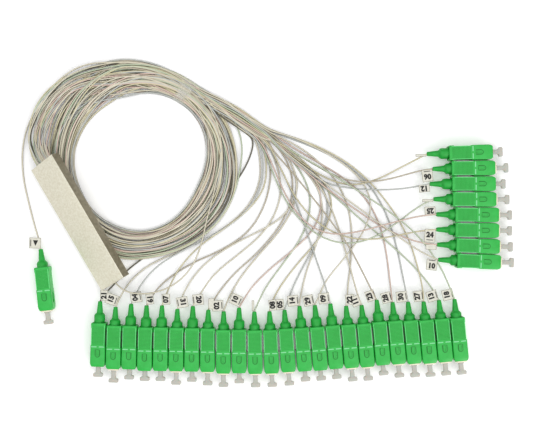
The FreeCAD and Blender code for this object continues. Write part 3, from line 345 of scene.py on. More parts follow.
def make_finishes():
    """Fills the table of materials."""
    # Moulded polycarbonate blend: bright green, satin, with a soft sheen on the flats.
    finish("grip", "Green moulded polycarbonate", "22AE40", 0.4, ("1FAB3D", "28B446", 4.0),
           (0.25, 0.012))
    # Pad-printed white ink, thin enough for the green to show through.
    finish("mark", "White printed ink", "7FD497", 0.5)
    # The line round the key is a flat band painted dark as a painted shadow; the panel's floor
    # between the ribs is painted a little darker as painted shade; its rims are smoother and
    # painted lighter as a painted highlight.
    finish("groove_shadow", "Green moulding, painted key shadow", "0C7A24", 0.6)
    finish("panel", "Green moulding, panel floor in painted shade", "1BA239", 0.55)
    finish("rim", "Green moulding, rim with painted highlight", "5AD474", 0.3)
    # Thermoplastic elastomer: darker green, soft and dull.
    finish("boot", "Green elastomer", "0A9C30", 0.5, ("08982C", "10A436", 3.0))
    # Bead-blasted, lacquered steel sleeve: warm grey with a fine even grain. Its side walls are
    # painted darker than its broad faces, as painted shade.
    finish("case", "Blasted lacquered steel", "E2DDC9", 0.42, ("DCD6BF", "E9E5D3", 1.1, 6.0),
           (0.5, 0.04), Metallic=0.2)
    finish("case_wall_shade", "Blasted lacquered steel, side walls in painted shade", "857D67", 0.45,
           ("7C745E", "8F8771", 2.0, 5.0), Metallic=0.3)
    # Moulded end plug in dark grey-beige nylon.
    finish("plug", "Grey-beige nylon", "6E6858", 0.6)
    # Polished die, ground glass blocks and coated ribbon inside the module.
    finish("chip", "Polished silica on silicon", "4C5666", 0.15)
    finish("glass", "Ground borosilicate glass", "DCE8E4", 0.3, Transmission_Weight=0.6)
    finish("ribbon", "Acrylate fibre ribbon", "CFC8A2", 0.35)
    # Loose tube of clear polyester elastomer in slightly different tints, pale along the crown; its
    # flanks are painted darker where the surface turns away from overhead, as painted shade.
    tints = [("575141", "D1CAB3"), ("625C4B", "D3CDB8"), ("484235", "B9AF99"),
             ("5B4B40", "D2B9AB"), ("5A543A", "CBC39F"), ("4B563F", "B9C4A7"),
             ("4B5152", "B9BCB6")]
    for index, (flank_shade, crown) in enumerate(tints):
        lead = finish("lead%d" % index, "Loose tube tint %d" % (index + 1), crown, 0.3,
                      Coat_Weight=0.5)
        paint_flank_shade(lead, flank_shade, crown)
    finish("lead_dark", "Loose tube, dark", "5F5B4C", 0.4)
    # Injection moulded ivory body, white zirconia ferrule, soft translucent polyethylene cap.
    finish("frame", "Ivory moulded resin", "E9DFC8", 0.45)
    finish("ferrule", "White zirconia", "F4F2EC", 0.12)
    finish("cap", "Milky polyethylene", "AFB1A9", 0.28, Subsurface_Weight=0.1)
    # Uncoated paper label, folded over the lead, printed in black.
    finish("flag", "Uncoated label paper", "D6D4C8", 0.8, ("CFCDBF", "DCDACF", 1.5))
    # Strips along the flag's edges, painted darker as painted shade at its outline.
    finish("paper_edge_shade", "Paper edge, painted shade", "8E8A7A", 0.85)
    finish("ink", "Black printing ink", "0E0D0B", 0.6)
    # Clear packing film, and its end where two layers lie on each other, painted whiter than the
    # single film, partly as a painted glint.
    finish("tape", "Clear polypropylene film", "E8E6DC", 0.12, Alpha=0.12)
    finish("tape_end_glint", "Clear polypropylene film, doubled, with painted glint", "F2EFE4", 0.15, Alpha=0.22)
    # Drawn spring wire and nickel-plated brass.
    finish("spring", "Spring steel wire", "A8A8A6", 0.3, Metallic=1.0)
    finish("stop", "Nickel-plated brass", "B8B6AE", 0.28, Metallic=1.0)
    # Pale board for the floor, a little lit from below like a light table.
    finish("floor", "Pale matt board on a light table", "F4F4F2", 0.9,
           Emission_Color=(1.0, 1.0, 1.0, 1.0), Emission_Strength=0.12)


# ---- helpers ------------------------------------------------------------------------------------

def add_object(name, data):
    """A new object at the origin of the scene."""
    made = bpy.data.objects.new(name, data)
    bpy.context.scene.collection.objects.link(made)
    return made


def object_from(mesh_maker, name, materials, scale=MM):
    """A mesh object at the origin, from a bmesh in millimetres; a scale of 1 leaves it in them."""
    mesh = bpy.data.meshes.new(name)
    mesh_maker.normal_update()
    mesh_maker.to_mesh(mesh)
    mesh_maker.free()
    mesh.transform(Matrix.Scale(scale, 4))
    for material in materials:
        mesh.materials.append(material)
    return add_object(name, mesh)


def discard(holder):
    """Removes an object, with its modifiers and its mesh or text."""
    holder.modifiers.clear()
    blank = holder.data
    bpy.data.objects.remove(holder)
    (bpy.data.meshes if isinstance(blank, bpy.types.Mesh) else bpy.data.curves).remove(blank)


def baked(holder, matrix=Matrix()):
    """The evaluated object's mesh as a bmesh, moved by a matrix; the object itself goes."""
    bpy.context.view_layer.update()
    mesh = bpy.data.meshes.new_from_object(
        holder.evaluated_get(bpy.context.evaluated_depsgraph_get()))
    mesh.transform(matrix)
    maker = bmesh.new()
    maker.from_mesh(mesh)
    bpy.data.meshes.remove(mesh)
    discard(holder)
    return maker


def move(maker, matrix):
    """Moves a whole bmesh by a matrix."""
    bmesh.ops.transform(maker, matrix=matrix, verts=maker.verts)


def turn_by(angle, axis="Z"):
    """A turn by an angle in degrees."""
    return Matrix.Rotation(math.radians(angle), 4, axis)


def declare(made, body, slot, *nodes):
    """Says which body a piece rides on and which nodes it replaces; the slot is not used."""
    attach(made, body)
    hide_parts(*nodes)


def smooth(made, angle=40.0):
    """Smooth shading with sharp edges kept."""
    made.data.shade_smooth()
    made.data.set_sharp_from_angle(angle=math.radians(angle))
    return made


def loft(maker, sections, closed=False, material=0, caps=True):
    """Faces between sections of equal length; returns the faces."""
    rings = [[maker.verts.new(point) for point in section] for section in sections]
    faces = []
    last = len(rings) if closed else len(rings) - 1
    for index in range(last):
        here = rings[index]
        there = rings[(index + 1) % len(rings)]
        for side in range(len(here)):
            after = (side + 1) % len(here)
            faces.append(maker.faces.new((here[side], here[after], there[after], there[side])))
    if caps and not closed:
        faces.append(maker.faces.new(list(reversed(rings[0]))))
        faces.append(maker.faces.new(rings[-1]))
    for face in faces:
        face.material_index = material
    return faces


def stack(maker, outlines, material=0, caps=True):
    """Faces between flat outlines, each given with its height."""
    loft(maker, [[Vector((x, y, z)) for x, y in outline] for outline, z in outlines],
         material=material, caps=caps)


def block(maker, low, high, material=0, bevel=0.0):
    """A box between two corners, with eased edges where a bevel is given."""
    size = Vector(high) - Vector(low)
    middle = (Vector(high) + Vector(low)) / 2
    matrix = Matrix.Translation(middle) @ Matrix.Diagonal((*size, 1.0))
    made = bmesh.ops.create_cube(maker, size=1.0, matrix=matrix)
    faces = {face for vert in made["verts"] for face in vert.link_faces}
    for face in faces:
        face.material_index = material
    if bevel:
        edges = list({edge for vert in made["verts"] for edge in vert.link_edges})
        bmesh.ops.bevel(maker, geom=edges, offset=bevel, segments=2, profile=0.6,
                        affect="EDGES", material=material)


def slab(maker, side, x, y, z, material, bevel=0.0):
    """A block on the upper side (1) or the lower side (-1), by its limits along each axis."""
    z = sorted((side * z[0], side * z[1]))
    block(maker, (x[0], y[0], z[0]), (x[1], y[1], z[1]), material, bevel)


def round_section(x, half_width, half_height, radius, steps=4):
    """A rounded rectangle square to X, turning from +Y towards +Z."""
    points = []
    for corner in range(4):
        sy = 1 if corner in (0, 3) else -1
        sz = 1 if corner in (0, 1) else -1
        centre_y = sy * (half_width - radius)
        centre_z = sz * (half_height - radius)
        for step in range(steps + 1):
            angle = math.radians(90 * corner + 90 * step / steps)
            points.append(Vector((x, centre_y + radius * math.cos(angle),
                                  centre_z + radius * math.sin(angle))))
    return points


def ring_section(x, radius, sides):
    """A circle square to X."""
    return [Vector((x, radius * math.cos(2 * math.pi * i / sides),
                    radius * math.sin(2 * math.pi * i / sides))) for i in range(sides)]


def round_body(maker, profile, sides, **settings):
    """Faces about X, from distances along it and radii."""
    loft(maker, [ring_section(x, radius, sides) for x, radius in profile], **settings)


def heading_vector(heading):
    """A level direction, one long."""
    return Vector((math.cos(math.radians(heading)), math.sin(math.radians(heading)), 0.0))


def plug_matrix(x, y, heading):
    """A plug's place: where its boot meets its frame, on its own axis."""
    return Matrix.Translation((x, y, AXIS_HEIGHT)) @ turn_by(heading)


def output_plugs():
    """Node name, place, grip start and label of each output plug, by its number."""
    rows = [(index + 1, ROW_FIRST + ROW_PITCH * index, ROW_REAR[index], ROW_LEAN[index] - 90, state)
            for index, state in enumerate(ROW_GRIP)]
    rows += [("C%d" % (index + 1), COLUMN_REAR[index], COLUMN_FIRST - COLUMN_PITCH * index,
              COLUMN_LEAN[index], state) for index, state in enumerate(COLUMN_GRIP)]
    plugs = {}
    for number, (key, x, y, heading, state) in enumerate(rows, 1):
        seat = GRIP_SEAT + (GRIP_TRAVEL if state == "B" else 0.0)
        ahead = heading_vector(heading) * seat
        plugs[key] = ("output_grip_%02d" % number, plug_matrix(x + ahead.x, y + ahead.y, heading),
                      -seat, number)
    return plugs


def input_matrix():
    """The input plug's place, from its boot's tip."""
    ahead = heading_vector(INPUT_HEADING) * BOOT_LENGTH
    return plug_matrix(INPUT_TIP[0] + ahead.x, INPUT_TIP[1] + ahead.y, INPUT_HEADING)


def boot_tip(place):
    """Where a plug's lead goes into its boot."""
    return place @ Vector((-BOOT_LENGTH, 0, 0))


def case_matrix():
    """The module's place: its own frame is centred under its floor, X towards the outputs."""
    tilt = math.radians(CASE_TILT)
    lean = (Matrix.Translation((0, -CASE.z / 2 * math.sin(tilt), CASE.y / 2 * math.sin(tilt)))
            @ turn_by(-CASE_TILT, "X"))
    return turn_by(CASE_HEADING) @ lean


def module_underside(point):
    """Height of the leaning module's underside over a point, or None away from it."""
    heading = math.radians(CASE_HEADING)
    tilt = math.radians(CASE_TILT)
    along = point.x * math.cos(heading) + point.y * math.sin(heading)
    across = point.x * math.sin(heading) - point.y * math.cos(heading)
    from_edge = across + CASE.y / 2 * math.cos(tilt) - CASE.z / 2 * math.sin(tilt)
    if abs(along) > CASE.x / 2 + 2 or from_edge < 0:
        return None
    return min(from_edge, CASE.y * math.cos(tilt)) * math.tan(tilt)


# ---- leads --------------------------------------------------------------------------------------

def between(rows, value):
    """The rest of a row's numbers at a value of its first, eased from each row to the next."""
    for low, high in zip(rows, rows[1:]):
        if low[0] <= value <= high[0]:
            part = (value - low[0]) / (high[0] - low[0])
            part = part * part * (3 - 2 * part)
            return [first + part * (last - first) for first, last in zip(low[1:], high[1:])]


def coil_size(angle):
    """Inner radius, outer radius and height of the coil, smoothly between its rows."""
    return between(COIL + [(360, *COIL[0][1:])], angle % 360.0)


def coil_point(angle, across, level):
    """A lead's place in the coil: across from 0 inside to 1 outside, level from 0 to 1.
    It stands out by the slack with which the spline cuts the corners between its points."""
    inner, outer, height = coil_size(angle)
    across = min(max(across, 0.0), 1.0)
    radius = inner + LEAD / 2 + (outer - inner - LEAD) * across
    shoulder = 0.5 + 0.5 * min(1.0, across / 0.25, (1 - across) / 0.25)
    slack = 0.75 + 0.25 * math.cos(math.radians(COIL_STEP))
    point = COIL_CENTRE + heading_vector(angle) * (radius / slack)
    point.z = LEAD / 2 + level * max(height * shoulder - LEAD, 0.0)
    roof = module_underside(COIL_CENTRE + heading_vector(angle) * radius)
    if roof is not None:
        point.z = max(min(point.z, roof - ROOF_CLEARANCE - LEAD / 2), LEAD / 2)
    return point


def bundle_point(station, across, level):
    """A lead's place in a flat bundle: across from -0.5 to 0.5, level from -0.5 to 0.5."""
    x, y, z, heading, roll, width, height = station
    off_axis = Vector((0, (width - LEAD) * across, (height - LEAD) * level))
    return Vector((x, y, z)) + turn_by(heading) @ turn_by(roll, "X") @ off_axis


def stray(across, level, order, station):
    """A lead's wandering place in a bundle, a little to either side of its own lane."""
    across += 0.11 * math.sin(order * 2.4 + station * 1.9)
    level += 0.3 * math.sin(order * 1.7 + station * 2.3)
    return min(max(across, -0.62), 0.64), min(max(level, -0.5), 0.5)


def coil_run(start, turn, lanes, phase, bulge=0.0):
    """Points round the coil from an angle through a turn; lanes are (share of turn, across, level).
    A bulge stands out of the ring by that much at one place in the first turn."""
    points = []
    steps = round(abs(turn) / COIL_STEP)
    for step in range(steps + 1):
        across, level = between(lanes, step / steps)
        angle = start + turn * step / steps
        across += 0.045 * math.sin(math.radians(angle * 1.7) + phase)
        across += 0.03 * math.sin(math.radians(angle * 3.3) + 2.6 * phase)
        point = coil_point(angle, across, level)
        apart = (angle - BULGE_ANGLE) / BULGE_SPREAD
        if abs(apart) < 1:
            point += heading_vector(angle) * bulge * math.cos(math.pi / 2 * apart) ** 2
        points.append(point)
    return points


def trunk_seat(order):
    """Where a lead leaves the trunk's end."""
    x, y, heading = TRUNK_END
    share = order / (len(FAN_OUT) - 1) - 0.5
    seat = Vector((x, y, TRUNK_LEVELS[order % len(TRUNK_LEVELS)]))
    return seat + heading_vector(heading + 90) * (TRUNK_LANES * share)


def fan_points(order, level, plan, tip):
    """A fan-out lead's points: its seat in the trunk, its route and the boot's tip."""
    seat = trunk_seat(order)
    points = [seat]
    if (Vector((*plan[0], seat.z)) - seat).length > 1.5 * RUN_IN:
        points.append(seat + heading_vector(TRUNK_END[2]) * RUN_IN)
    height = LEAD_LEVELS[level]
    for index, (x, y) in enumerate(plan):
        z = height
        if index == 0:
            z = (seat.z + height) / 2
        if index == len(plan) - 1:
            z = (height + 3 * tip.z) / 4
        points.append(Vector((x, y, z)))
    return points + [tip]


def output_path(order, mixed):
    """A pigtail's lane round the coil: share of the turn, across and level. It holds one lane in
    the first turn and another in the second, and crosses over at a place of its own."""
    last = len(FAN_OUT) - 1
    first = (mixed * 5) % COIL_LANES
    second = ((first + 7) % COIL_LANES) / (COIL_LANES - 1)
    first /= COIL_LANES - 1
    low, high = (mixed % 4) / 3, ((mixed + 2) % 4) / 3
    shift = 0.006 * ((order * 7) % 11 - 5)
    start = (0.0, 1.0 - 0.7 * mixed / last, low)
    if order == TOP_LEAD:
        return [(*start[:2], 0.5), (0.1, 0.88, 0.6), (0.9, 0.84, 0.6), (1.0, 0.35, 0.6)]
    held = [(0.13 + shift, first, low), (0.4 + shift, first, low)]
    if order == BULGE_LEAD:
        held = [(0.14, 1.0, 1.0), (0.3, 1.0, 1.0)]
    return [start, *held, (0.5 + shift, 0.55 * second, high), (0.61 + shift, second, high),
            (0.88 + shift, second, high), (1.0, 0.35 + 0.6 * order / last, high)]


def output_route(order, level, plan, tip):
    """A whole pigtail: off the module, over two turns round the coil, the trunk, the fan-out."""
    last = len(FAN_OUT) - 1
    mixed = (order * 11 + 5) % len(FAN_OUT)
    tier = (order % 3) / 2 - 0.5
    outlet = Vector((CASE.x / 2 - END_PLUG_INSET, OUTLET_SPREAD * (0.5 - mixed / last),
                     CASE.z / 2 + tier))
    # Every eighth lead hangs off the edge of the bundle.
    lane = (-0.7, -0.5) if order % 8 == 3 else (0.58 - 1.06 * mixed / last, tier)
    points = [case_matrix() @ outlet]
    points += [bundle_point(station, *stray(*lane, order, index))
               for index, station in enumerate(LEAD_BUNDLE)]
    points += coil_run(OUTPUT_START, OUTPUT_TURN, output_path(order, mixed), order * 1.1,
                       BULGE if order == BULGE_LEAD else 0.0)
    for index, station in enumerate(TRUNK):
        spot = stray(0.92 * (order / last - 0.5), tier, order, index + 3)
        points.append(bundle_point(station, *((-0.56, 0.5) if order == TOP_LEAD else spot)))
    return points + fan_points(order, level, plan, tip)


def input_route():
    """The input lead: off the module, round the coil the other way and on to its plug."""
    outlet = case_matrix() @ Vector((END_PLUG_INSET - CASE.x / 2, 0, CASE.z / 2))
    points = [outlet] + [Vector(point) for point in INPUT_LEAD]
    path = [(0.0, 0.45, 1.0), (0.3, 0.2, 1.0), (0.55, 0.7, 0.9), (0.85, 0.35, 1.0),
            (1.0, 0.95, 1.0)]
    points += coil_run(INPUT_START, INPUT_TURN, path, 0.4)
    points += [Vector(point) for point in INPUT_OVER + INPUT_TAIL]
    return points + [boot_tip(input_matrix())]


def lead_curve(name, points, material):
    """One lead as a single open spline."""
    curve = bpy.data.curves.new(name, "CURVE")
    curve.dimensions = "3D"
    spline = curve.splines.new("NURBS")
    spline.points.add(len(points) - 1)
    for spot, point in zip(spline.points, points):
        spot.co = (*(point * MM), 1.0)
    spline.order_u = 3
    spline.use_endpoint_u = True
    curve.resolution_u = 4
    curve.bevel_depth = LEAD / 2 * MM
    curve.bevel_resolution = 2
    curve.use_fill_caps = True
    curve.materials.append(material)
    return add_object(name, curve)


# ---- geometry trees -----------------------------------------------------------------------------

def new_tree(name, sizes, others=()):
    """A geometry tree with its input node. Its inputs are others, by label and kind, then the
    sizes, by label and default, and the material."""
    tree = bpy.data.node_groups.new(name, "GeometryNodeTree")
    add_socket = tree.interface.new_socket
    for label, kind in others:
        add_socket(label, in_out="INPUT", socket_type=kind)
    for label, size in sizes.items():
        kind = "NodeSocketInt" if isinstance(size, int) else "NodeSocketFloat"
        add_socket(label, in_out="INPUT", socket_type=kind).default_value = size
    add_socket("Material", in_out="INPUT", socket_type="NodeSocketMaterial")
    add_socket("Geometry", in_out="OUTPUT", socket_type="NodeSocketGeometry")
    return tree, tree.nodes.new("NodeGroupInput")


def close_tree(tree, feed, source, output):
    """Ends a tree in Realize Instances, Set Material and the group's output."""
    real = add_node(tree, "GeometryNodeRealizeInstances", {"Geometry": (source, output)})
    painted = add_node(tree, "GeometryNodeSetMaterial",
                       {"Geometry": (real, "Geometry"), "Material": (feed, "Material")})
    add_node(tree, "NodeGroupOutput", {"Geometry": (painted, "Geometry")})


def ribs_tree():
    """A row of straight ribs along X."""
    tree, feed = new_tree("Ribs", {"Count": 14, "Pitch": RIBS_RUN / 14,
                                   "Rib Width": RIBS_SOLID / 14, "Span": RIB_SPAN,
                                   "Rib Height": RIB_HEIGHT})
    step = add_node(tree, "ShaderNodeCombineXYZ", {"X": (feed, "Pitch")})
    line = add_node(tree, "GeometryNodeMeshLine",
                    {"Count": (feed, "Count"), "Offset": (step, "Vector")})
    size = add_node(tree, "ShaderNodeCombineXYZ",
                    {"X": (feed, "Rib Width"), "Y": (feed, "Span"), "Z": (feed, "Rib Height")})
    rib = add_node(tree, "GeometryNodeMeshCube", {"Size": (size, "Vector")})
    row = add_node(tree, "GeometryNodeInstanceOnPoints",
                   {"Points": (line, "Mesh"), "Instance": (rib, "Mesh")})
    close_tree(tree, feed, row, "Instances")
    return tree


def spring_tree():
    """A round wire wound on a cylinder along Z."""
    tree, feed = new_tree("Coil Spring", {"Turns": 4.0, "Radius": 1.7, "Height": 5.95,
                                          "Wire": 0.2})
    coil = add_node(tree, "GeometryNodeCurveSpiral",
                    {"Rotations": (feed, "Turns"), "Start Radius": (feed, "Radius"),
                     "End Radius": (feed, "Radius"), "Height": (feed, "Height")},
                    {"Resolution": 24})
    wire = add_node(tree, "GeometryNodeCurvePrimitiveCircle", {"Radius": (feed, "Wire")},
                    {"Resolution": 8})
    skin = add_node(tree, "GeometryNodeCurveToMesh",
                    {"Curve": (coil, "Curve"), "Profile Curve": (wire, "Curve")},
                    {"Fill Caps": True})
    close_tree(tree, feed, skin, "Mesh")
    return tree


def places_tree():
    """A pattern on each point, turned to the point's heading and lifted to the plugs' axis."""
    tree, feed = new_tree("Plug Places", {"Axis Height": AXIS_HEIGHT},
                          [("Points", "NodeSocketGeometry"), ("Pattern", "NodeSocketObject")])
    heading = add_node(tree, "GeometryNodeInputNamedAttribute", inputs={"Name": "heading"},
                       data_type="FLOAT")
    euler = add_node(tree, "ShaderNodeCombineXYZ", {"Z": (heading, "Attribute")})
    turn = add_node(tree, "FunctionNodeEulerToRotation", {"Euler": (euler, "Vector")})
    pattern = add_node(tree, "GeometryNodeObjectInfo", {"Object": (feed, "Pattern")})
    copies = add_node(tree, "GeometryNodeInstanceOnPoints",
                      {"Points": (feed, "Points"), "Instance": (pattern, "Geometry"),
                       "Rotation": (turn, "Rotation")})
    lift = add_node(tree, "ShaderNodeCombineXYZ", {"Z": (feed, "Axis Height")})
    lifted = add_node(tree, "GeometryNodeTranslateInstances",
                      {"Instances": (copies, "Instances"), "Translation": (lift, "Vector")},
                      {"Local Space": False})
    close_tree(tree, feed, lifted, "Instances")
    return tree


def run_tree(tree, values, base=None):
    """The tree's result as a bmesh, from a base mesh where it needs one. The values are set by
    their sockets' identifiers, and the other inputs keep their defaults."""
    holder = add_object("holder", base or bpy.data.meshes.new("holder"))
    modifier = holder.modifiers.new("shape", "NODES")
    modifier.node_group = tree
    for item in tree.interface.items_tree:
        if item.in_out == "INPUT" and item.name in values:
            modifier[item.identifier] = values[item.name]
    holder.update_tag()
    return baked(holder)


def set_out(tree, shape, places, material):
    """A shape, a bmesh at the plug's own place, on every plug."""
    points = bpy.data.meshes.new("places")
    points.from_pydata([(place.translation.x, place.translation.y, 0.0) for place in places],
                       [], [])
    headings = points.attributes.new("heading", "FLOAT", "POINT")
    headings.data.foreach_set("value", [place.to_euler().z for place in places])
    pattern = object_from(shape, "pattern", [], 1.0)
    made = bmesh.new()
    join_into(made, run_tree(tree, {"Pattern": pattern, "Material": material}, points), 0)
    discard(pattern)
    return made


# ---- plug shapes, in the plug's own frame -------------------------------------------------------

def grip_profile(sizes):
    """Distance from the rear edge, half width and half height down the length of the grip."""
    half = sizes.grip_width / 2 / MM
    waist = half - sizes.waist_depth / MM
    tall = sizes.grip_height / 2 / MM
    return [(0.0, half - 0.35, tall - 0.3), (0.35, half, tall), (2.6, half, tall),
            (3.2, waist, tall), (12.4, waist, tall), (13.0, half, tall),
            (22.8, half, tall), (23.7, half - 0.15, tall - 0.1), (24.5, half - 0.45, tall - 0.3),
            (GRIP_LENGTH, half - 0.8, tall - 0.55)]


def grip_mesh(sizes):
    """The sliding housing: shell, bore, side windows, key, finger panels and dashed line."""
    maker = bmesh.new()
    outer = [round_section(x, half, tall, 0.6, 3) for x, half, tall in grip_profile(sizes)]
    bore = [round_section(x, *GRIP_BORE, 0.4, 3) for x in (GRIP_LENGTH, 0.0)]
    loft(maker, outer + bore, closed=True)
    maker = without_box(maker, *WINDOW)
    top = sizes.grip_height / 2 / MM
    ribs = run_tree(ribs_tree(), {
        "Count": sizes.rib_count, "Pitch": RIBS_RUN / sizes.rib_count,
        "Rib Width": RIBS_SOLID / sizes.rib_count, "Material": finishes["grip"]})
    for side in (1, -1):
        add_panel(maker, top, side, ribs)
        for low in DASH_SIDES:
            slab(maker, side, DASH, (low, low + DASH_LENGTH), (top, top + 0.03), 1)
    ribs.free()
    add_key(maker, top)
    return maker


def without_box(maker, low, high):
    """The shape with a box cut out of it."""
    box = bmesh.new()
    block(box, low, high)
    cutter = object_from(box, "cutter", [], 1.0)
    shape = object_from(maker, "shape", [], 1.0)
    cut = shape.modifiers.new("cut", "BOOLEAN")
    cut.operation = "DIFFERENCE"
    cut.solver = "EXACT"
    cut.object = cutter
    made = baked(shape)
    discard(cutter)
    return made


def add_panel(maker, top, side, ribs):
    """The finger panel on a broad face: a low rim on each side and cross ribs between."""
    # The rims take the lighter finish, a painted highlight.
    for y in (-PANEL_HALF - RIM_WIDTH, PANEL_HALF):
        slab(maker, side, PANEL_RIM, (y, y + RIM_WIDTH), (top - SUNK, top + RIM_HEIGHT), 4, 0.1)
    # The floor between the ribs takes the darker finish, painted shade.
    slab(maker, side, PANEL_FLOOR, (-PANEL_HALF, PANEL_HALF), (top - SUNK, top + 0.02), 3)
    part = ribs.copy()
    move(part, Matrix.Translation((RIBS_START, 0, side * (top + 0.04))))
    join_into(maker, part, 0)


def tongue(half, reach, back=KEY_BACK):
    """The outline of a tongue, square behind and round in front."""
    centre = back + reach - half
    points = [(centre + half * math.cos(math.radians(a)), half * math.sin(math.radians(a)))
              for a in range(-90, 91, 15)]
    return [(back, -half)] + points + [(back, half)]


def add_key(maker, top):
    """The key on top of the housing: a round-fronted rim with a sunken middle, and round it a flat
    band painted dark as a painted shadow.
    """
    outer = tongue(*KEY_RIM)
    inner = tongue(*KEY_MIDDLE, KEY_BACK + 0.001)
    stack(maker, [(outer, top - SUNK), (outer, top + KEY_HEIGHT), (inner, top + KEY_HEIGHT),
                  (inner, top + 0.06)])
    # A flat band round the key in the dark finish: painted shadow, not a cut.
    edge = tongue(*KEY_LINE)
    stack(maker, [(edge, top - SUNK), (edge, top + 0.02), (outer, top + 0.02)], 2, False)


def boot_mesh(maker):
    """The boot: tail, sloping shoulder and collar, eased where they meet."""
    stations = [(-BOOT_LENGTH, 0.75), (-BOOT_LENGTH, 1.05), (-13.8, 1.18), (-13.2, 1.26),
                (-7.9, 1.8), (-7.4, 1.93), (-7.1, 2.18), (-6.75, 2.62), (-6.3, 2.96),
                (-5.7, 3.11), (-0.4, 3.15), (0.0, 2.95), (0.0, 1.2)]
    round_body(maker, stations, 20)


def frame_mesh(maker):
    """The inner body: a square bar with eased edges and an open front socket."""
    wide, tall = FRAME_HALF
    outer = [round_section(x, wide - ease, tall - ease, 0.35, 2) for x, ease in
             ((0.0, 0.0), (FRAME_FRONT - 0.6, 0.0), (FRAME_FRONT, FRAME_EASE))]
    socket = [round_section(x, SOCKET_HALF, SOCKET_HALF, 0.3, 2) for x in (FRAME_FRONT, WEB_FRONT)]
    loft(maker, outer + socket)


def lugged_frame_mesh(maker):
    """The inner body with a lug on each side, which runs in the grip's window."""
    frame_mesh(maker)
    for side in (-1, 1):
        low, high = sorted((side * LUG_OUT[0], side * LUG_OUT[1]))
        block(maker, (LUG[0], low, -LUG_HALF), (LUG[1], high, LUG_HALF), bevel=0.1)


def ferrule_mesh(maker):
    """The ferrule with its eased, angled end."""
    rings = [ring_section(x, FERRULE_RADIUS, 20) for x in (WEB_FRONT, FRAME_FRONT - 0.8)]
    tip = ring_section(FRAME_FRONT - 0.4, FERRULE_TIP, 20)
    for point in tip:
        point.x -= (point.z + FERRULE_TIP) * FERRULE_SLOPE
    loft(maker, rings + [tip])


def cap_mesh(maker):
    """The dust cap: a sleeve over the ferrule, a flat stem and a head that flares to the sides."""
    floor = FRAME_FRONT - 0.2
    sleeve = [(CAP_BACK, CAP_RADIUS), (FRAME_FRONT, CAP_RADIUS), (floor, CAP_BORE),
              (CAP_BACK, CAP_BORE), (CAP_BACK, CAP_RADIUS)]
    round_body(maker, sleeve, 16, caps=False)
    round_body(maker, [(floor, CAP_RADIUS), (FRAME_FRONT, CAP_RADIUS)], 16)
    head = [(0.0, 1.7, 1.3), (0.5, 1.65, 1.3), (1.1, 1.3, 1.25), (4.4, 1.3, 1.25),
            (4.9, 1.6, 1.4), (5.2, 2.5, 1.4), (5.6, 2.75, 1.4), (6.7, 2.75, 1.4),
            (7.1, 2.6, 1.3), (7.3, 2.3, 1.1)]
    loft(maker, [round_section(FRAME_FRONT + x, half, tall, 0.4, 3) for x, half, tall in head])


def spring_mesh(maker):
    """The wire spring behind the input ferrule."""
    wire = run_tree(spring_tree(), {"Material": finishes["spring"]})
    move(wire, Matrix.Translation((SPRING_START, 0, 0)) @ turn_by(90, "Y"))
    join_into(maker, wire, 0)


def stop_mesh(maker):
    """The pressed stop ring and the stub under the boot."""
    profile = [(STOP_STUB, 1.5), (0.0, 1.5), (0.0, 2.45), (STOP_LENGTH, 2.45), (STOP_LENGTH, 0.6),
               (STOP_STUB, 0.6)]
    round_body(maker, profile, 20, closed=True)


def flag_mesh(maker, width, turn, place):
    """A paper flag folded over the lead behind the boot; returns where its print goes."""
    wide = abs(width)
    side = -wide if width > 0 else 0
    rim = 0.22
    turned = place @ Matrix.Translation((-BOOT_LENGTH - FLAG_GAP, 0, 0)) @ turn_by(turn)
    sections = []
    for share in (0.0, rim / wide, 0.25, 0.5, 0.75, 1 - rim / wide, 1.0):
        lift = 0.1 * math.sin(math.pi * share)
        outline = [(-FLAG_LENGTH, -FLAG_HALF), (0.0, -FLAG_HALF), (0.0, FLAG_HALF),
                   (-rim, FLAG_HALF), (rim - FLAG_LENGTH, FLAG_HALF), (-FLAG_LENGTH, FLAG_HALF)]
        sections.append([turned @ Vector((x, side + wide * share, z + lift)) for x, z in outline])
    faces = loft(maker, sections)
    around = len(outline)
    # Faces along the flag's edges take the third, darker finish: painted shade at its outline.
    for index, face in enumerate(faces[:-2]):
        step, part = divmod(index, around)
        if step in (0, len(sections) - 2) or part in (1, 2, 4, 5):
            face.material_index = 2
    return turned @ Matrix.Translation((-FLAG_LENGTH / 2, side + wide / 2, 0.25))


def bar_and_arrow(spot, arrow, drop):
    """The bar under the print, with an arrow head instead of a number where asked."""
    maker = bmesh.new()
    block(maker, (-1.9, -drop - 0.2, 0), (1.9, 0.2 - drop, PRINT))
    if arrow:
        outline = [(-1.6, -1.2), (1.7, 0.3), (-1.6, 1.8)]
        stack(maker, [(outline, 0), (outline, PRINT)])
    move(maker, spot)
    return maker


def printed(text, matrix, size):
    """Flat printed characters as a mesh in a bmesh, in millimetres."""
    curve = bpy.data.curves.new("printing", "FONT")
    curve.body = text
    curve.size = size
    curve.align_x = "CENTER"
    curve.align_y = "CENTER"
    curve.resolution_u = 2
    curve.offset = 0.06 * size
    return baked(add_object("printing", curve), matrix)


def join_into(target, source, material):
    """Copies one bmesh into another with a material index."""
    lookup = {vert: target.verts.new(vert.co) for vert in source.verts}
    for face in source.faces:
        made = target.faces.new([lookup[vert] for vert in face.verts])
        made.material_index = material
    source.free()


# ---- sizes and colours that a user would change -------------------------------------------------

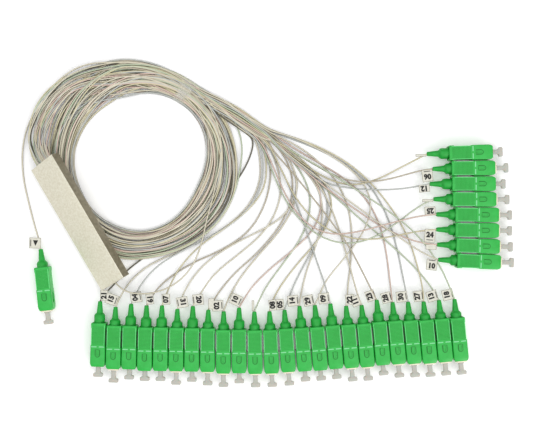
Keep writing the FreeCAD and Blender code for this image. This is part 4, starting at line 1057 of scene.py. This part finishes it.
class SplitterSizes(bpy.types.PropertyGroup):
    """Sizes of the plugs and their flags, the order of the tints and the stage's tone"""
    grip_width: FloatProperty(name="Grip width", description="Width of a plug's grip",
                              unit="LENGTH", default=0.0085, min=0.008, max=0.0086)
    grip_height: FloatProperty(name="Grip height", description="Height of a plug's grip",
                               unit="LENGTH", default=0.0078, min=0.007, max=0.0079)
    waist_depth: FloatProperty(name="Waist depth", description="How far the grip's sides step in",
                               unit="LENGTH", default=0.00035, min=0.0, max=0.0005)
    rib_count: IntProperty(name="Ribs", description="Cross ribs on a grip's finger panel",
                           default=14, min=3, max=24)
    number_size: FloatProperty(name="Number size", description="Size of the numbers on the flags",
                               unit="LENGTH", default=0.0041, min=0.001, max=0.0045)
    tint_seed: IntProperty(name="Tint seed", description="Order of the leads' tints", default=3)
    floor_colour: FloatVectorProperty(name="Floor", description="Colour of the floor", size=3,
                                      subtype="COLOR", default=(0.97, 0.97, 0.97))
    light_strength: FloatProperty(name="Light", description="Factor on the power of all the lamps",
                                  default=1.0, min=0.0, max=10.0)


def sizes_of(context):
    """The sizes that the sidebar shows."""
    return context.scene.splitter_sizes


class SPLITTER_OT_finishes(bpy.types.Operator):
    """Make every material"""
    bl_idname = "splitter.finishes"
    bl_label = "Finishes"

    def execute(self, context):
        make_finishes()
        return {"FINISHED"}


class SPLITTER_OT_module(bpy.types.Operator):
    """Make the module's sleeve, and give its end plugs and what is inside their materials"""
    bl_idname = "splitter.module"
    bl_label = "Module"

    def execute(self, context):
        maker = bmesh.new()
        half = CASE / 2
        along, ease = CASE_EASE
        outer = [round_section(x, half.y - step, half.z - step, 0.5 - step) for x, step in
                 ((-half.x, ease), (along - half.x, 0.0), (half.x - along, 0.0), (half.x, ease))]
        inner = [round_section(x, half.y - CASE_WALL, half.z - CASE_WALL, 0.3)
                 for x in (half.x, -half.x)]
        faces = loft(maker, outer + inner, closed=True)
        maker.normal_update()
        for face in faces:
            # The side walls take the darker finish, painted shade.
            if abs(face.normal.y) > 0.95:  # the side walls
                face.material_index = 1
        move(maker, case_matrix() @ Matrix.Translation((0, 0, CASE.z / 2)))
        case = smooth(object_from(maker, "case", [finishes["case"], finishes["case_wall_shade"]]))
        declare(case, "root", "case_steel", "case_tube")
        inside = {"input_end_cap": "plug", "output_end_cap": "plug", "splitter_chip": "chip",
                  "chip_lid": "glass", "input_array": "glass", "output_array": "glass",
                  "input_bare_fibre": "ribbon", "output_ribbons": "ribbon"}
        for node, key in inside.items():
            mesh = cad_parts[node].data
            mesh.materials.clear()
            mesh.materials.append(finishes[key])
        return {"FINISHED"}


class SPLITTER_OT_grips(bpy.types.Operator):
    """Make the sliding grip of every plug"""
    bl_idname = "splitter.grips"
    bl_label = "Grips"

    def execute(self, context):
        materials = [finishes[key] for key in ("grip", "mark", "groove_shadow", "panel", "rim")]
        pattern = grip_mesh(sizes_of(context))
        plugs = [(node, place, start) for node, place, start, _ in output_plugs().values()]
        plugs.append(("input_grip", input_matrix(), -GRIP_SEAT - GRIP_TRAVEL))  # pulled back
        for node, place, start in plugs:
            maker = pattern.copy()
            move(maker, place @ Matrix.Translation((start, 0, 0)))
            name = node.replace("output_", "").replace("input_grip", "grip_input")
            declare(smooth(object_from(maker, name, materials), 30), node, "grip", node)
        pattern.free()
        return {"FINISHED"}


class SPLITTER_OT_plug_pieces(bpy.types.Operator):
    """Make the boots, inner bodies, ferrules, dust caps, spring and stop ring"""
    bl_idname = "splitter.plug_pieces"
    bl_label = "Plug pieces"

    def execute(self, context):
        places = [place for _, place, _, _ in output_plugs().values()]
        home = [input_matrix()]
        kinds = [("boots", boot_mesh, places, "boot", "output_boots", "root"),
                 ("frames", frame_mesh, places, "frame", "output_frames", "root"),
                 ("ferrules", ferrule_mesh, places, "ferrule", "output_ferrules", "root"),
                 ("caps", cap_mesh, places, "cap", "output_caps", "root"),
                 ("boot_input", boot_mesh, home, "boot", "input_boot", "root"),
                 ("frame_input", lugged_frame_mesh, home, "frame", "input_frame", "root"),
                 ("spring_input", spring_mesh, home, "spring", "input_spring", "root"),
                 ("stop_input", stop_mesh, home, "stop", "input_stop", "root"),
                 ("ferrule_input", ferrule_mesh, home, "ferrule", "input_ferrule",
                  "input_ferrule"),
                 ("cap_input", cap_mesh, home, "cap", "input_cap", "input_cap")]
        tree = places_tree()
        for name, shape, where, key, node, body in kinds:
            pattern = bmesh.new()
            shape(pattern)
            maker = set_out(tree, pattern, where, finishes[key])
            declare(smooth(object_from(maker, name, [finishes[key]])), body, key, node)
        return {"FINISHED"}


class SPLITTER_OT_flags(bpy.types.Operator):
    """Make the paper flags with their plain numbers"""
    bl_idname = "splitter.flags"
    bl_label = "Flags"

    def execute(self, context):
        plugs = output_plugs()
        output = [(plugs[key][1], width, turn, "%02d" % LABELS[plugs[key][3] - 1],
                   0 if key in TURNED_PRINT else 180) for key, _, width, turn, _ in FAN_OUT]
        home = [(input_matrix(), INPUT_FLAG[0], INPUT_FLAG[1], "", 0)]
        for name, flags, node in (("flags", output, "output_flags"),
                                  ("flag_input", home, "input_flag")):
            maker = bmesh.new()
            spots = [(flag_mesh(maker, width, turn, place), width, text, spin)
                     for place, width, turn, text, spin in flags]
            for spot, width, text, spin in spots:
                spot = spot @ turn_by(spin)
                drop = min(BAR_DROP, abs(width) / 2 - 0.3)
                if abs(width) > BAR_FROM:
                    join_into(maker, bar_and_arrow(spot, not text, drop), 1)
                    spot = spot @ Matrix.Translation((0, 0.45, 0))
                if text and abs(width) > NUMBER_FROM:
                    join_into(maker, printed(text, spot, sizes_of(context).number_size / MM), 1)
            made = object_from(maker, name, [finishes[key] for key in
                                             ("flag", "ink", "paper_edge_shade")])
            declare(made, "root", "flag", node)
        return {"FINISHED"}


class SPLITTER_OT_leads(bpy.types.Operator):
    """Lay the 32 pigtails and the input lead"""
    bl_idname = "splitter.leads"
    bl_label = "Leads"

    def execute(self, context):
        plugs = output_plugs()
        seed = sizes_of(context).tint_seed
        for order, (key, level, _, _, plan) in enumerate(FAN_OUT):
            _, place, _, number = plugs[key]
            points = output_route(order, level, plan, boot_tip(place))
            tint = "lead_dark" if key == 1 else "lead%d" % ((order * 5 + seed) % 7)
            lead = lead_curve("lead_%02d" % number, points, finishes[tint])
            self.declare_cord(lead, points[0], PIGTAIL_LENGTH, "grip_%02d" % number)
        points = input_route()
        lead = lead_curve("lead_input", points, finishes["lead0"])
        self.declare_cord(lead, points[0], INPUT_LENGTH, "grip_input")
        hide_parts("input_lead", "input_tail")
        return {"FINISHED"}

    @staticmethod
    def declare_cord(lead, start, length, plug):
        """Says that a lead rides on the root in place of the coil, bundle and fan-out; the start,
        the length and the plug are not used.
        """
        declare(lead, "root", "lead", "fibre_coil", "output_bundle", "fan_out")


class SPLITTER_OT_tape(bpy.types.Operator):
    """Wrap the clear tape over the coil"""
    bl_idname = "splitter.tape"
    bl_label = "Tape"

    def execute(self, context):
        maker = bmesh.new()
        self.strip(maker, *TAPE, 0.2, 0)
        # The doubled end takes the whiter finish: a second layer of film and a painted glint.
        self.strip(maker, *TAPE_END, 0.3, 1)
        tape = smooth(object_from(maker, "tape", [finishes["tape"], finishes["tape_end_glint"]]))
        declare(tape, "root", "clear_tape", "coil_tape")
        return {"FINISHED"}

    @staticmethod
    def strip(maker, start, end, profile, lift, material):
        """A thin film over the coil; the part of it that lies on top is lifted."""
        sections = []
        for step in range(5):
            angle = start + (end - start) * step / 4
            inner, outer, height = coil_size(angle)
            spots = []
            for across, level in profile:
                radius = inner + across * (outer - inner)
                radius = min(max(radius, inner - TAPE_OUT), outer + TAPE_OUT)
                spots.append((radius, level * height + (lift if level > 0.6 else 0.0)))
            wall, under = TAPE_WALL
            skin = [(r + (wall if r < (inner + outer) / 2 else -wall), z - under)
                    for r, z in reversed(spots)]
            sections.append([COIL_CENTRE + heading_vector(angle) * r + Vector((0, 0, z))
                             for r, z in spots + skin])
        loft(maker, sections, material=material)


class SPLITTER_OT_stage(bpy.types.Operator):
    """Make the floor, lights and camera"""
    bl_idname = "splitter.stage"
    bl_label = "Stage"

    def execute(self, context):
        sizes = sizes_of(context)
        maker = bmesh.new()
        maker.faces.new([maker.verts.new((x * FLOOR_REACH, y * FLOOR_REACH, FLOOR_HEIGHT))
                         for x, y in ((-1, -1), (1, -1), (1, 1), (-1, 1))])
        board = finishes["floor"].node_tree.nodes["Principled BSDF"]
        board.inputs["Base Color"].default_value = (*sizes.floor_colour, 1.0)
        floor = object_from(maker, "floor", [finishes["floor"]], 1.0)
        for name, place, size, power in LAMPS:
            data = bpy.data.lights.new(name, "AREA")
            data.size = size
            data.energy = power * sizes.light_strength
            lamp = add_object(name, data)
            lamp.location = place
            lamp.rotation_mode = "QUATERNION"
            aim = Vector(LAMP_TARGET) - Vector(place)
            lamp.rotation_quaternion = aim.to_track_quat("-Z", "Y")
        world = bpy.data.worlds.new("studio")
        world.use_nodes = True
        self.shade_sky(world.node_tree)
        context.scene.world = world
        data = bpy.data.cameras.new("camera")
        data.lens = CAMERA_LENS
        data.clip_start = 0.01
        camera = add_object("camera", data)
        camera.location = CAMERA_PLACE
        context.scene.camera = camera
        context.scene.view_settings.view_transform = "Standard"
        return {"FINISHED"}

    @staticmethod
    def shade_sky(tree):
        """A white sky that is bright overhead and dim near the horizon."""
        place = add_node(tree, "ShaderNodeTexCoord")
        split = add_node(tree, "ShaderNodeSeparateXYZ", {"Vector": (place, "Generated")})
        level = add_node(tree, "ShaderNodeMapRange", {"Value": (split, "Z")},
                         {"From Min": 0.0, "From Max": 1.0, "To Min": 0.1, "To Max": 1.0})
        shader = tree.nodes["Background"]
        shader.inputs["Color"].default_value = (1.0, 1.0, 1.0, 1.0)
        tree.links.new(level.outputs["Result"], shader.inputs["Strength"])


class SPLITTER_PT_panel(bpy.types.Panel):
    """Lists the sizes and the pieces"""
    bl_idname = "SPLITTER_PT_panel"
    bl_label = "Fibre Splitter"
    bl_space_type = "VIEW_3D"
    bl_region_type = "UI"
    bl_category = "Splitter"

    def draw(self, context):
        sizes = sizes_of(context)
        for name in sizes.bl_rna.properties.keys():
            if name not in ("rna_type", "name"):
                self.layout.prop(sizes, name)
        for operator in OPERATORS:
            self.layout.operator(operator.bl_idname)


OPERATORS = (SPLITTER_OT_finishes, SPLITTER_OT_module, SPLITTER_OT_grips,
             SPLITTER_OT_plug_pieces, SPLITTER_OT_flags, SPLITTER_OT_leads, SPLITTER_OT_tape,
             SPLITTER_OT_stage)
CLASSES = (SplitterSizes,) + OPERATORS + (SPLITTER_PT_panel,)


def register():
    """Adds the classes and the sizes."""
    for each in CLASSES:
        bpy.utils.register_class(each)
    bpy.types.Scene.splitter_sizes = PointerProperty(type=SplitterSizes)


def unregister():
    """Takes away what register adds."""
    del bpy.types.Scene.splitter_sizes
    for each in reversed(CLASSES):
        bpy.utils.unregister_class(each)


def main():
    """Runs the operators in turn."""
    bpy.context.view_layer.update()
    register()
    for operator in OPERATORS:
        group, name = operator.bl_idname.split(".")
        getattr(getattr(bpy.ops, group), name)()
    bpy.context.view_layer.update()


if __name__ == "__main__":
    main()
